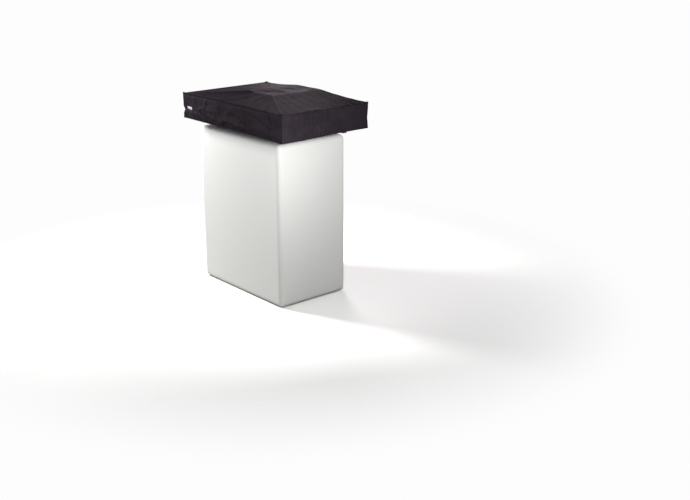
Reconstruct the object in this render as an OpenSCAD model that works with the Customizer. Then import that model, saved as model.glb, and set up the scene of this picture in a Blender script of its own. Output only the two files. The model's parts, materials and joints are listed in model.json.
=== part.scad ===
// Soft-shell roof top tent, closed for travel under its fabric cover.
// X runs along the vehicle and +X is forward, Y runs across it, Z is up.
// The base folds open about a hinge on the -Y side; the cover peels back over the +Y side.
// The origin is below the middle of the cover, on the plane that the clamp bolts stand on.

/* [Base] */
// Length of both base panels, along the vehicle
base_l = 1626; // [1400:2:1800]
// Width of one base panel, across the vehicle
base_w = 1026; // [940:2:1150]
// Thickness of a base panel
panel_t = 28; // [24:1:34]
// Width of the frame tubes round a panel
frame_w = 30; // [26:1:36]
// Wall of the frame tubes
frame_wall = 2; // [1.5:0.1:3]
// Side of a corner cap
cap_side = 46; // [42:1:60]
// Radius of a corner cap's outer corner
cap_r = 14; // [8:1:20]

/* [Hinge] */
// Distance from the hinge axis to each panel's hinge edge
hinge_gap = 10; // [9:0.5:14]
// Radius of the hinge eyes
eye_r = 11; // [9:0.5:13]
// Radius of the hinge pins
pin_r = 5; // [4:0.25:6]
// Thickness of the bracket plates
bracket_t = 5; // [4:0.5:7]
// Length of a bracket's foot
bracket_l = 110; // [90:1:160]
// Width of a bracket's foot
bracket_foot_w = 26; // [24:0.5:28]
// Thickness of the flat eye at a hoop's end
hoop_eye_t = 6; // [5:0.5:7]
// Play between neighbours on the hinge pin
hub_play = 0.4; // [0.3:0.05:0.6]

/* [Mattress] */
// Thickness of one mattress half
mattress_t = 56; // [45:1:70]
// Bare strip of panel beside the mattress, at each end
mattress_margin = 66; // [64:1:90]
// Bare strip of panel at the free edge
mattress_free_margin = 40; // [30:1:80]
// How far the mattress sides draw in between the corners
mattress_draw = 6; // [2:0.5:12]

/* [Hoops and canopy] */
// Room between the mattress halves for the hoops and the folded canopy
mid_gap = 82; // [78:1:110]
// Diameter of the hoop tubes
hoop_d = 16; // [12:1:18]
// Distance from the hoops' far bars to the free edge of the base
hoop_inset = 46; // [36:1:180]
// Height step from one folded hoop to the next
hoop_step = 24; // [20:0.5:26]
// Bend radius of the hoop corners
hoop_bend = 120; // [60:5:200]

/* [Rails] */
// Length of the mounting rails
rail_l = 1500; // [1300:10:1590]
// Distance between the two rails
rail_spacing = 600; // [440:10:760]
// Width of a rail without its flanges
rail_w = 44; // [40:1:56]
// Height of a rail
rail_h = 30; // [26:1:40]
// Width of each rail flange
flange_w = 15; // [14:0.5:20]
// Thickness of the rail flanges
flange_t = 3; // [2:0.5:4]
// Width of the slot under a rail
slot_w = 9; // [8.5:0.5:11]
// Thickness of the lips beside the slot
slot_lip = 4; // [3:0.5:5]
// Width of the slot's cavity
cavity_w = 18; // [17:0.5:22]
// Height of the slot's cavity
cavity_h = 9; // [8:0.5:10]

/* [Clamps] */
// Position of the front clamps along the rails
front_clamp_x = 270; // [150:10:450]
// Position of the rear clamps along the rails
rear_clamp_x = -430; // [-550:10:-250]
// Height of the crossbar space
bar_h = 32; // [24:1:45]
// Width of the crossbar space
bar_w = 84; // [60:1:100]
// Thickness of a clamp jaw
jaw_t = 6; // [4:0.5:10]
// Width of a clamp jaw
jaw_w = 40; // [30:1:44]
// Thickness of the rubber pad on a jaw
jaw_pad_t = 3; // [2:0.5:5]
// Radius of the clamp bolts
bolt_r = 4; // [3:0.25:4]
// Height of the clamp bolts' heads
bolt_head_h = 5.8; // [5:0.1:8]

/* [Ladder] */
// Middle of the ladder along the vehicle
ladder_x = -60; // [-300:5:300]
// Distance between the ladder's stiles
stile_spacing = 300; // [260:5:380]
// Radius of the thinnest stile tube
top_tube_r = 9.2; // [8:0.1:10]
// Wall of the stile tubes
tube_wall = 1.4; // [1:0.1:1.6]
// Radial play between one tube and the next
tube_play = 0.4; // [0.3:0.05:0.5]
// Length of each stile tube
tube_l = 270; // [250:5:300]
// Distance between rungs of the closed ladder
rung_pitch = 48; // [46:0.5:56]
// Distance from the ladder's pivot to the first rung
first_rung = 45; // [42:0.5:60]
// Width of a rung collar, across the stile
collar_w = 48; // [47:1:60]
// Depth of a rung collar, along the stile
collar_d = 44; // [30:0.5:45]
// Height of a rung collar
collar_h = 46; // [46:1:60]
// Depth of a rung, along the stile
rung_d = 36; // [24:1:40]
// Height of a rung
rung_h = 30; // [20:1:40]
// Distance from the ladder's pivot to the panel's free edge
pivot_inset = 31; // [28:0.5:50]
// Radius of the ladder's pivot pins
ladder_pin_r = 4; // [3:0.25:5]
// Thickness of a rubber foot below its tube
foot_t = 15; // [10:1:25]
// Travel of the release buttons
button_travel = 8; // [6:0.5:12]

/* [Cover] */
// Thickness of the cover with its lining
cover_t = 3; // [2:0.5:4]
// Room for folds between the cover and the base
cover_slack = 8.5; // [6:0.5:20]
// Height of the cover's top edge above the folded base
edge_rise = 5; // [4:0.5:15]
// Height of the hem above the underside of the base
hem_lift = 2; // [0:0.5:10]
// Radius of the cover's upright corners
cover_corner_r = 16; // [10:1:30]
// Sag of the cover between its edge and the ladder
cover_sag = 7; // [0:0.5:10]
// Radius of the cord sewn into the cover's far hem
keder_r = 2.5; // [2:0.1:2.6]
// Length of the blank label
label_l = 95; // [40:1:140]
// Height of the blank label
label_h = 25; // [15:1:60]
// Distance from the cover's rear end to the middle of the label
label_inset = 110; // [90:1:400]

/* [Hidden] */
$fn = 48;
fit = 0.05;      // radial play of pins in their eyes
seat = 0.3;      // play under pieces that rest on others
touch = 0.2;     // play between framed pieces
sections = 7;    // tubes in each ladder stile
wave = 360;

cover_l = base_l + 2 * (cover_t + cover_slack);
cover_w = base_w + hinge_gap + eye_r + 2 * (cover_t + cover_slack);
axis_y = eye_r + cover_t + cover_slack - cover_w / 2;
panel_y0 = axis_y + hinge_gap;
panel_y1 = panel_y0 + base_w;
rail_z = bolt_head_h + touch + jaw_t + jaw_pad_t + bar_h;
base_z = rail_z + rail_h;
floor_z = base_z + panel_t;
axis_z = floor_z + mattress_t + mid_gap / 2;
stack_z = 2 * axis_z - base_z;
board_l = base_l - 2 * (frame_w + touch);
board_w = base_w - 2 * (frame_w + touch);
hoop_r = hoop_d / 2;
hoop_reach = hinge_gap + base_w - hoop_inset;

// Layers along the hinge pin, counted outwards from the lower bracket
pin_head = 5;
hub_x0 = base_l / 2 - mattress_margin + 2 * pin_head;
hub_x1 = hub_x0 + bracket_t + hub_play;
hub_x2 = hub_x1 + 3 * (hoop_eye_t + hub_play);
leg_x = hub_x1 + hoop_r + 2 * touch;

screw_r = 3;
screw_hole_r = screw_r + 0.1;
screw_head = [5.5, 4];
screw_depth = 15;
rail_bolt_xs = [for (i = [-1.5:1:1.5]) i * rail_l / 4];
bracket_screw_ys = [panel_y0 + bracket_l * 0.3, panel_y0 + bracket_l * 0.75];

ladder_pivot_y = panel_y1 - pivot_inset;
ladder_z = stack_z + 1 + collar_h / 2;
ladder_eye_t = 8;
lug_t = 4;
foot_grip = 15;
rest_pad = [36, 50];

clamp_bolt_dx = bar_w / 2 + bolt_r + 2;
track_wall = 1.2;
keder_y = panel_y1 + track_wall + keder_r + fit;
keder_z = base_z + hem_lift + keder_r + 2.6;
keder_l = base_l - 2 * cap_side;

// Helpers

// A shape at both ends of the part, as a mirror pair
module both_ends() {
    children();
    mirror([1, 0, 0]) children();
}

// The folded upper half is the lower half mirrored in the hinge axis's level plane
module upper_half() {
    translate([0, 0, 2 * axis_z]) mirror([0, 0, 1]) children();
}

module rod_x(r, x0, x1, y, z) {
    translate([x0, y, z]) rotate([0, 90, 0]) cylinder(r = r, h = x1 - x0);
}

module rod_y(r, x, y0, y1, z) {
    translate([x, y1, z]) rotate([90, 0, 0]) cylinder(r = r, h = y1 - y0);
}

module rod_z(r, x, y, z0, z1) {
    translate([x, y, z0]) cylinder(r = r, h = z1 - z0);
}

// A block given by its lowest and highest corners
module block(low, high) {
    translate(low) cube(high - low);
}

module hex_z(r, x, y, z0, z1) {
    translate([x, y, z0]) cylinder(r = r, h = z1 - z0, $fn = 6);
}

function sum(v) = [for (p = v) 1] * v;

// A closed skin over rings of equal length, each anticlockwise from above, capped at both ends
module loft(rings) {
    n = len(rings[0]);
    m = len(rings);
    points = concat([for (r = rings) each r], [sum(rings[0]) / n, sum(rings[m - 1]) / n]);
    walls = [for (j = [0:m - 2], i = [0:n - 1])
        let (a = j * n + i, b = j * n + (i + 1) % n) each [[a, a + n, b + n], [a, b + n, b]]];
    first = [for (i = [0:n - 1]) [m * n, i, (i + 1) % n]];
    last = [for (i = [0:n - 1]) [m * n + 1, (m - 1) * n + (i + 1) % n, (m - 1) * n + i]];
    polyhedron(points = points, faces = concat(walls, first, last), convexity = 6);
}

// Places round a rounded rectangle, as [x, y, outward x, outward y, side, share along the side].
// nx and ny are the points on the sides along X and Y.
function outline(x0, x1, y0, y1, r, nx, ny) = concat(
    [for (i = [0:nx - 1]) let (t = i / (nx - 1)) [x0 + r + t * (x1 - x0 - 2 * r), y0, 0, -1, 0, t]],
    [arc_place(x1 - r, y0 + r, r, -45)],
    [for (i = [0:ny - 1]) let (t = i / (ny - 1)) [x1, y0 + r + t * (y1 - y0 - 2 * r), 1, 0, 1, t]],
    [arc_place(x1 - r, y1 - r, r, 45)],
    [for (i = [0:nx - 1]) let (t = i / (nx - 1)) [x1 - r - t * (x1 - x0 - 2 * r), y1, 0, 1, 2, t]],
    [arc_place(x0 + r, y1 - r, r, 135)],
    [for (i = [0:ny - 1]) let (t = i / (ny - 1)) [x0, y1 - r - t * (y1 - y0 - 2 * r), -1, 0, 3, t]],
    [arc_place(x0 + r, y0 + r, r, 225)]);

function arc_place(x, y, r, a) = [x + r * cos(a), y + r * sin(a), cos(a), sin(a), 4, 0];

// A place moved inwards by d, at height z
function inset_at(p, d, z) = [p[0] - p[2] * d, p[1] - p[3] * d, z];

// Sides draw in by up to 1, most at mid length
function bow(p) = p[4] == 4 ? 0 : 4 * p[5] * (1 - p[5]);

// A soft slab with drawn-in sides, rounded edges and a crowned top
module soft_slab(low, high, corner_r, draw, round_r, crown) {
    places = outline(low[0], high[0], low[1], high[1], corner_r, 9, 7);
    top = high[2] - crown;
    mid = [(low[0] + high[0]) / 2, (low[1] + high[1]) / 2, 0];
    function edge(d, z) = [for (p = places) inset_at(p, d + draw * bow(p), z)];
    function shrunk(s, z) = [for (q = edge(round_r, z)) mid + s * [q[0] - mid[0], q[1] - mid[1], 0] + [0, 0, z]];
    loft([shrunk(0.6, low[2]), edge(round_r, low[2]), edge(0, low[2] + round_r), edge(0, top - round_r),
          edge(round_r, top), shrunk(0.85, top + crown * 0.7), shrunk(0.5, high[2])]);
}

// Base panels

module panel_board() {
    difference() {
        block([-board_l / 2, panel_y0 + frame_w + touch, base_z],
              [board_l / 2, panel_y1 - frame_w - touch, floor_z]);
        children();
    }
}

// Blind holes for the screws of both hinge brackets, whose feet begin at foot_x
module bracket_screw_holes(foot_x) {
    both_ends() for (y = bracket_screw_ys)
        rod_z(screw_hole_r, foot_x + bracket_foot_w / 2, y, floor_z - screw_depth - 1, floor_z + 1);
}

module frame_tube(low, high, along) {
    wall = [for (i = [0:2]) i == along ? -1 : frame_wall];
    difference() {
        block(low, high);
        block(low + wall, high - wall);
    }
}

module panel_frame() {
    x = base_l / 2;
    for (y = [panel_y0, panel_y1 - frame_w])
        frame_tube([cap_side - x, y, base_z], [x - cap_side, y + frame_w, floor_z], 0);
    for (x0 = [-x, x - frame_w])
        frame_tube([x0, panel_y0 + cap_side, base_z], [x0 + frame_w, panel_y1 - cap_side, floor_z], 1);
}

// One corner cap, for the corner at the plan's lowest x and y
module corner_cap() {
    side = cap_side - touch;
    linear_extrude(panel_t) difference() {
        union() {
            translate([cap_r, 0]) square([side - cap_r, side]);
            translate([0, cap_r]) square([side, side - cap_r]);
            translate([cap_r, cap_r]) circle(cap_r);
        }
        translate([frame_w, frame_w]) square(side);
    }
}

module panel_caps() {
    both_ends() {
        translate([-base_l / 2, panel_y0, base_z]) corner_cap();
        translate([-base_l / 2, panel_y1, base_z]) mirror([0, 1, 0]) corner_cap();
    }
}

module mattress_half() {
    x = base_l / 2 - mattress_margin;
    low = [-x, axis_y + hinge_gap - 4, floor_z + seat];
    soft_slab(low, [x, panel_y1 - mattress_free_margin, floor_z + mattress_t], 24, mattress_draw, 10, 6);
}

module lower_board() {
    color("gainsboro") panel_board() {
        bracket_screw_holes(hub_x0);
        for (x = rail_bolt_xs, y = rail_bolt_ys())
            rod_z(screw_hole_r, x, y, base_z - 1, base_z + screw_depth + 1);
    }
}

module upper_board() {
    color("gainsboro") upper_half() panel_board() bracket_screw_holes(hub_x2 + bracket_t - bracket_foot_w);
}

module lower_frame() { color("#2b2c30") panel_frame(); }
module upper_frame() { color("#2b2c30") upper_half() panel_frame(); }
module lower_corner_caps() { color("#1d1d1f") panel_caps(); }
module upper_corner_caps() { color("#1d1d1f") upper_half() panel_caps(); }
module lower_mattress() { color("#8b8d92") mattress_half(); }
module upper_mattress() { color("#8b8d92") upper_half() mattress_half(); }

// Rails under the base

function rail_bolt_ys() = [for (s = [-1, 1], e = [-1, 1]) s * rail_spacing / 2 + e * (rail_w + flange_w) / 2];

module rail_profile() {
    difference() {
        union() {
            translate([-rail_w / 2, 0]) square([rail_w, rail_h]);
            translate([-rail_w / 2 - flange_w, rail_h - flange_t]) square([rail_w + 2 * flange_w, flange_t]);
        }
        translate([-slot_w / 2, -1]) square([slot_w, slot_lip + 2]);
        translate([-cavity_w / 2, slot_lip]) square([cavity_w, cavity_h]);
        translate([3 - rail_w / 2, slot_lip + cavity_h + 3])
            square([rail_w - 6, rail_h - flange_t - slot_lip - cavity_h - 3]);
    }
}

module rail(y) {
    color("#33353a") difference() {
        translate([-rail_l / 2, y, rail_z]) rotate([90, 0, 90]) linear_extrude(rail_l) rail_profile();
        for (x = rail_bolt_xs, e = [-1, 1])
            rod_z(screw_hole_r, x, y + e * (rail_w + flange_w) / 2, base_z - flange_t - 1, base_z + 1);
    }
}

module rail_right() { rail(-rail_spacing / 2); }
module rail_left() { rail(rail_spacing / 2); }

module rail_bolts() {
    head_z = base_z - flange_t;
    color("silver") for (x = rail_bolt_xs, y = rail_bolt_ys()) {
        hex_z(screw_head[0], x, y, head_z - screw_head[1], head_z);
        rod_z(screw_r, x, y, head_z - 1, base_z + screw_depth);
    }
}

// Crossbar clamps

module on_rails(x) {
    for (y = [-1, 1]) translate([x, y * rail_spacing / 2, 0]) children();
}

module clamp_bolt_holes(r, z0, z1) {
    for (dx = [-1, 1]) rod_z(r, dx * clamp_bolt_dx, 0, z0, z1);
}

module clamp_jaws(x) {
    l = clamp_bolt_dx + 3 * bolt_r;
    z = bolt_head_h + touch;
    color("#2a2b2e") on_rails(x) difference() {
        block([-l, -jaw_w / 2, z], [l, jaw_w / 2, z + jaw_t]);
        clamp_bolt_holes(bolt_r + 0.5, z - 1, z + jaw_t + 1);
    }
}

module clamp_pads(x) {
    l = clamp_bolt_dx - bolt_r - 1;
    z = bolt_head_h + touch + jaw_t;
    color("#161617") on_rails(x) block([-l, 2 - jaw_w / 2, z], [l, jaw_w / 2 - 2, z + jaw_pad_t]);
}

module clamp_bolts(x) {
    top = rail_z + slot_lip + cavity_h - 1;
    color("silver") on_rails(x) for (dx = [-1, 1]) {
        hex_z(1.85 * bolt_r, dx * clamp_bolt_dx, 0, 0, bolt_head_h);
        rod_z(bolt_r, dx * clamp_bolt_dx, 0, bolt_head_h - 1, top);
    }
}

module clamp_nuts(x) {
    z = rail_z + slot_lip + touch;
    half = cavity_w / 2 - 0.5;
    color("silver") on_rails(x) difference() {
        for (dx = [-1, 1]) translate([dx * clamp_bolt_dx, 0, 0])
            block([-10, -half, z], [10, half, rail_z + slot_lip + cavity_h - 2]);
        clamp_bolt_holes(bolt_r + fit, z - 1, rail_z + rail_h);
    }
}

module front_clamp_jaws() { clamp_jaws(front_clamp_x); }
module front_clamp_pads() { clamp_pads(front_clamp_x); }
module front_clamp_bolts() { clamp_bolts(front_clamp_x); }
module front_clamp_nuts() { clamp_nuts(front_clamp_x); }
module rear_clamp_jaws() { clamp_jaws(rear_clamp_x); }
module rear_clamp_pads() { clamp_pads(rear_clamp_x); }
module rear_clamp_bolts() { clamp_bolts(rear_clamp_x); }
module rear_clamp_nuts() { clamp_nuts(rear_clamp_x); }

// Hinge brackets, at the level of the lower half. The plate begins at plate_x and the foot at foot_x.

module hinge_brackets(plate_x, foot_x) {
    foot_end = panel_y0 + bracket_l;
    gusset = [[axis_y - eye_r, axis_z], [axis_y - eye_r, axis_z - 2 * eye_r], [panel_y0 + 2, floor_z + 30],
              [panel_y0 + 2, floor_z], [foot_end, floor_z], [foot_end, floor_z + 16],
              [axis_y + eye_r + 12, axis_z - eye_r], [axis_y + eye_r, axis_z]];
    both_ends() difference() {
        union() {
            translate([plate_x, 0, 0]) rotate([90, 0, 90]) linear_extrude(bracket_t) union() {
                polygon(gusset);
                translate([axis_y, axis_z]) circle(eye_r);
            }
            block([foot_x, panel_y0 + 2, floor_z], [foot_x + bracket_foot_w, foot_end, floor_z + bracket_t]);
        }
        rod_x(pin_r + fit, plate_x - 1, plate_x + bracket_t + 1, axis_y, axis_z);
        for (y = bracket_screw_ys)
            rod_z(screw_hole_r, foot_x + bracket_foot_w / 2, y, floor_z - 1, floor_z + bracket_t + 1);
    }
}

module bracket_screws(foot_x) {
    top = floor_z + bracket_t;
    both_ends() for (y = bracket_screw_ys) {
        rod_z(screw_head[0], foot_x + bracket_foot_w / 2, y, top, top + screw_head[1] - 1);
        rod_z(screw_r, foot_x + bracket_foot_w / 2, y, floor_z - screw_depth, top + 1);
    }
}

module lower_hinge_brackets() { color("#26272a") hinge_brackets(hub_x0, hub_x0); }
module upper_hinge_brackets() {
    color("#26272a") upper_half() hinge_brackets(hub_x2, hub_x2 + bracket_t - bracket_foot_w);
}
module lower_bracket_screws() { color("silver") bracket_screws(hub_x0); }
module upper_bracket_screws() { color("silver") upper_half() bracket_screws(hub_x2 + bracket_t - bracket_foot_w); }

module hinge_pins() {
    end = hub_x2 + bracket_t;
    color("silver") both_ends() {
        rod_x(pin_r, hub_x0 - touch - 1, end + touch + 1, axis_y, axis_z);
        rod_x(1.6 * pin_r, hub_x0 - touch - pin_head, hub_x0 - touch, axis_y, axis_z);
        rod_x(1.6 * pin_r, end + touch, end + touch + pin_head, axis_y, axis_z);
    }
}

// Hoops that carry the canopy, folded flat one above the other

module hoop(level) {
    z = axis_z + level * hoop_step;
    eye_x = hub_x1 + (level + 1) * (hoop_eye_t + hub_play);
    start_y = level == 0 ? axis_y + eye_r + 2 : axis_y - hoop_r;
    bar_y = axis_y + hoop_reach - hoop_r;
    color("#b9bbbf") difference() {
        union() {
            both_ends() {
                rod_x(eye_r, eye_x, eye_x + hoop_eye_t, axis_y, axis_z);
                hoop_link(level, eye_x, z);
                rod_y(hoop_r, leg_x, start_y, bar_y - hoop_bend, z);
                translate([leg_x - hoop_bend, bar_y - hoop_bend, z])
                    rotate_extrude(angle = 90) translate([hoop_bend, 0]) circle(hoop_r);
            }
            rod_x(hoop_r, hoop_bend - leg_x, leg_x - hoop_bend, bar_y, z);
        }
        both_ends() rod_x(pin_r + fit, eye_x - 1, eye_x + hoop_eye_t + 1, axis_y, axis_z);
    }
}

// The flat strip from a hoop's eye to its leg
module hoop_link(level, eye_x, z) {
    w = hoop_r - 1;
    if (level == 0) block([eye_x, axis_y, z - w], [eye_x + hoop_eye_t, axis_y + 3 * eye_r, z + w]);
    else block([eye_x, axis_y - w, min(z, axis_z)], [eye_x + hoop_eye_t, axis_y + w, max(z, axis_z)]);
}

module lower_hoop() { hoop(-1); }
module middle_hoop() { hoop(0); }
module upper_hoop() { hoop(1); }

// The canopy and fly, rolled flat inside the hoops
module folded_canopy() {
    x = leg_x - hoop_r - seat - 1;
    half = mid_gap / 2 - seat;
    color("#6d7064") soft_slab([-x, axis_y + mid_gap / 2, axis_z - half],
        [x, axis_y + hoop_reach - hoop_d - seat - 1, axis_z + half], hoop_bend - hoop_r, 4, 12, 2);
}

// Ladder, shut, on the outer face of the upper panel. s is the distance from its pivot.

function tube_r(k) = top_tube_r + (k - 1) * (tube_wall + tube_play);
function rung_s(k) = first_rung + (k - 1) * rung_pitch;

module on_stiles() {
    for (e = [-1, 1]) translate([ladder_x + e * stile_spacing / 2, ladder_pivot_y, ladder_z]) children();
}

// A round rod along a stile, from s0 to s1
module stile_rod(r, s0, s1) {
    rod_y(r, 0, -s1, -s0, 0);
}

module ladder_section(k) {
    s = rung_s(k);
    s0 = s - collar_d / 2;
    half = stile_spacing / 2 - collar_w / 2 - touch;
    low = [ladder_x - half, ladder_pivot_y - s - rung_d / 2, ladder_z - rung_h / 2];
    high = [ladder_x + half, ladder_pivot_y - s + rung_d / 2, ladder_z + rung_h / 2];
    color("#c3c5c8") {
        on_stiles() difference() {
            union() {
                stile_rod(tube_r(k), s0, s0 + tube_l);
                if (k == 1) ladder_eye(s0);
            }
            stile_rod(tube_r(k) - tube_wall, s0 + (k == 1 ? 4 : -1), s0 + tube_l + 1);
            if (k == 1) rod_x(ladder_pin_r + fit, -ladder_eye_t, ladder_eye_t, 0, 0);
        }
        difference() {
            block(low, high);
            block(low + [-1, tube_wall, tube_wall], high - [-1, tube_wall, tube_wall]);
        }
    }
}

// The solid end of the first tube, with the eye that the ladder swings on
module ladder_eye(s1) {
    half = ladder_eye_t / 2;
    neck = top_tube_r - 1;
    stile_rod(top_tube_r, eye_r + 1, s1 + 1);
    block([-half, -eye_r - 2, -neck], [half, 0, neck]);
    rod_x(eye_r, -half, half, 0, 0);
}

module ladder_collars(k) {
    s = rung_s(k);
    color("#1b1b1d") on_stiles() difference() {
        block([-collar_w / 2, -s - collar_d / 2, -collar_h / 2], [collar_w / 2, -s + collar_d / 2, collar_h / 2]);
        stile_rod(tube_r(k) + fit, s - collar_d, s + collar_d);
    }
}

module ladder_feet() {
    end = rung_s(sections) - collar_d / 2 + tube_l;
    r = tube_r(sections);
    color("#161617") on_stiles() difference() {
        stile_rod(r + 2.5, end - foot_grip, end + foot_t);
        stile_rod(r + fit, end - foot_grip - 1, end + touch);
    }
}

module ladder_rest_pads() {
    y = -rung_s(sections) - tube_l / 2;
    color("#161617") on_stiles() block([-rest_pad[0] / 2, y - rest_pad[1] / 2, stack_z - ladder_z],
                                       [rest_pad[0] / 2, y + rest_pad[1] / 2, -tube_r(sections) - seat]);
}

module ladder_brackets() {
    lug_x = ladder_eye_t / 2 + hub_play;
    base = stack_z - ladder_z;
    color("#26272a") on_stiles() difference() {
        union() {
            block([-26, -20, base], [26, 22, base + lug_t]);
            for (e = [-1, 1]) translate([e * (lug_x + lug_t / 2), 0, 0]) {
                block([-lug_t / 2, -eye_r, base], [lug_t / 2, eye_r, 0]);
                rod_x(eye_r, -lug_t / 2, lug_t / 2, 0, 0);
            }
        }
        rod_x(ladder_pin_r + fit, -30, 30, 0, 0);
    }
}

module ladder_pivot_pins() {
    out = ladder_eye_t / 2 + hub_play + lug_t + touch;
    color("silver") on_stiles() {
        rod_x(ladder_pin_r, -out - 1, out + 1, 0, 0);
        for (e = [-1, 1]) translate([e * (out + 1.5), 0, 0]) rod_x(1.6 * ladder_pin_r, -1.5, 1.5, 0, 0);
    }
}

// Thumb buttons under the lowest rung, which slide outwards to let the ladder close
module release_button(e) {
    s = rung_s(sections) + rung_d / 2 + seat;
    x = ladder_x + e * (stile_spacing / 2 - collar_w / 2 - button_travel - 20);
    color("#a8442a") translate([x, ladder_pivot_y, ladder_z]) block([-14, -s - 9, -9], [14, -s, 9]);
}

module release_button_rear() { release_button(-1); }
module release_button_front() { release_button(1); }

// Travel cover

hem_z = base_z + hem_lift;
edge_z = stack_z + edge_rise;
crown_z = ladder_z + collar_h / 2 + seat + cover_t;
crown_x = stile_spacing / 2 + collar_w / 2 + 6;
crown_y0 = ladder_pivot_y - rung_s(sections) + collar_d / 2 - tube_l - foot_t - 8;
crown_y1 = ladder_pivot_y + eye_r + 4;
cover_places = outline(-cover_l / 2, cover_l / 2, -cover_w / 2, cover_w / 2, cover_corner_r, 16, 10);
crown_places = outline(ladder_x - crown_x, ladder_x + crown_x, crown_y0, crown_y1, 10, 16, 10);
collar_places = outline(ladder_x - crown_x + 2, ladder_x + crown_x - 2, crown_y0 + 2,
    ladder_pivot_y - first_rung + collar_d / 2 + 4, 10, 16, 10);
fold_depth = cover_slack - 0.5;

// Depth of the folds in a wall, at share v of its height: a drawn-in middle with slanting waves.
// The far wall, whose hem the track holds, has shallower ones.
function fold(p, v) = fold_depth * (p[4] == 2 ? 0.7 : 1) * bow(p) * sin(180 * v) *
    (0.55 + 0.45 * sin(wave * (fold_count(p[4]) * p[5] + 0.45 * v) + 60 * p[4]));
function fold_count(side) = side % 2 == 0 ? 4.5 : 3.5;

// Wall and top rings of the cover, drawn in by the skin's thickness t
function wall_ring(v, t) = [for (p = cover_places) inset_at(p, fold(p, v) + t, hem_z + v * (edge_z - 12 - hem_z))];
function edge_ring(d, z, t) = [for (p = cover_places) inset_at(p, d + t, z - t)];
function top_ring(f, t) = [for (i = [0:len(cover_places) - 1])
    let (a = cover_places[i], b = crown_places[i], d = (8 + t) * (1 - f))
    [a[0] + f * (b[0] - a[0]) - a[2] * d, a[1] + f * (b[1] - a[1]) - a[3] * d,
     edge_z + f * (shoulder_z(b) - edge_z) - 4 * cover_sag * f * (1 - f) - t]];
function collar_ring(t) = [for (b = collar_places) [b[0], b[1], crown_z - t]];
function ridge_ring(t) = let (c = sum(collar_places) / len(collar_places))
    [for (b = collar_places) [c[0] + 0.5 * (b[0] - c[0]), c[1] + 0.5 * (b[1] - c[1]), crown_z - t]];
// The crown drops to the ladder's brackets along its far side
function shoulder_z(b) = b[1] > ladder_pivot_y ? ladder_z + eye_r + seat + cover_t : crown_z - 1;
function cover_skin(t) = [wall_ring(0, t), wall_ring(0.2, t), wall_ring(0.45, t), wall_ring(0.75, t),
    wall_ring(1, t), edge_ring(4, edge_z, t), top_ring(0.3, t), top_ring(0.7, t), top_ring(1, t), collar_ring(t), ridge_ring(t)];
function reversed(v) = [for (i = [len(v) - 1:-1:0]) v[i]];

module travel_cover() {
    color("#2f2b2f") loft(concat(reversed(cover_skin(cover_t)), cover_skin(0)));
}

module keder_cord() {
    color("#1d1b1d") rod_x(keder_r, -keder_l / 2, keder_l / 2, keder_y, keder_z);
}

// Slotted track along the free edge of the base, which holds the cord in the cover's hem
module keder_track() {
    wall = track_wall;
    r = keder_r + fit;
    color("#33353a") difference() {
        block([-keder_l / 2, panel_y1, keder_z - r - wall], [keder_l / 2, keder_y + r + wall, keder_z + r + wall]);
        rod_x(r, -keder_l / 2 - 1, keder_l / 2 + 1, keder_y, keder_z);
        block([-keder_l / 2 - 1, keder_y - r / 2, keder_z], [keder_l / 2 + 1, keder_y + r / 2, keder_z + r + 2 * wall]);
    }
}

module cover_label() {
    x = label_inset - cover_l / 2;
    z = hem_z + 0.44 * (edge_z - hem_z);
    color("whitesmoke") block([x - label_l / 2, -cover_w / 2 - 0.9, z - label_h / 2],
                              [x + label_l / 2, -cover_w / 2 - 0.1, z + label_h / 2]);
}

lower_board();
lower_frame();
lower_corner_caps();
rail_right();
rail_left();
rail_bolts();
lower_mattress();
lower_hinge_brackets();
lower_bracket_screws();
hinge_pins();
keder_track();
upper_board();
upper_frame();
upper_corner_caps();
upper_mattress();
upper_hinge_brackets();
upper_bracket_screws();
ladder_brackets();
ladder_pivot_pins();
ladder_rest_pads();
lower_hoop();
middle_hoop();
upper_hoop();
folded_canopy();
for (k = [1:sections]) {
    ladder_section(k);
    ladder_collars(k);
}
ladder_feet();
release_button_rear();
release_button_front();
front_clamp_jaws();
front_clamp_pads();
front_clamp_bolts();
front_clamp_nuts();
rear_clamp_jaws();
rear_clamp_pads();
rear_clamp_bolts();
rear_clamp_nuts();
travel_cover();
keder_cord();
cover_label();
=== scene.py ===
# Roof top tent, shut for travel under its cloth cover: the looks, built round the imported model.
import json
import math

import bpy
import numpy as np
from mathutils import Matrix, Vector


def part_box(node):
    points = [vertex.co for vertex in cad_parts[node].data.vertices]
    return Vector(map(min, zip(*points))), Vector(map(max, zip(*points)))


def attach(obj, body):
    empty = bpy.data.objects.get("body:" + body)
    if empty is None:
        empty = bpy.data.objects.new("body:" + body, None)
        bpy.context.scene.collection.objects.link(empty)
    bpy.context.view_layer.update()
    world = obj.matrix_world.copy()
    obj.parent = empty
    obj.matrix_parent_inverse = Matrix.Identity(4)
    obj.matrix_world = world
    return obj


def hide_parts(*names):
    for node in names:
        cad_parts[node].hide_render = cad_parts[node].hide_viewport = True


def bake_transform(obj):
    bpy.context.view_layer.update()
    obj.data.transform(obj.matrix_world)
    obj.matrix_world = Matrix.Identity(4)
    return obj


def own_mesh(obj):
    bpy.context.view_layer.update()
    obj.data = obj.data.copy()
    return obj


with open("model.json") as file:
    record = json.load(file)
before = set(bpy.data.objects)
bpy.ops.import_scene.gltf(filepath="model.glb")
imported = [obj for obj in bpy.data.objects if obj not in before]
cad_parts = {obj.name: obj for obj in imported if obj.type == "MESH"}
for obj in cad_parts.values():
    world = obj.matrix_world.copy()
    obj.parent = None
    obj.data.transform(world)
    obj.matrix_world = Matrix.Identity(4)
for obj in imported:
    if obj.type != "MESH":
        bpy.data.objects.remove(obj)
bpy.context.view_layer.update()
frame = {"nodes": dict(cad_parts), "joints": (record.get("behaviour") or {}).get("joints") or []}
scene = bpy.context.scene
rng = np.random.default_rng(11)
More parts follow.
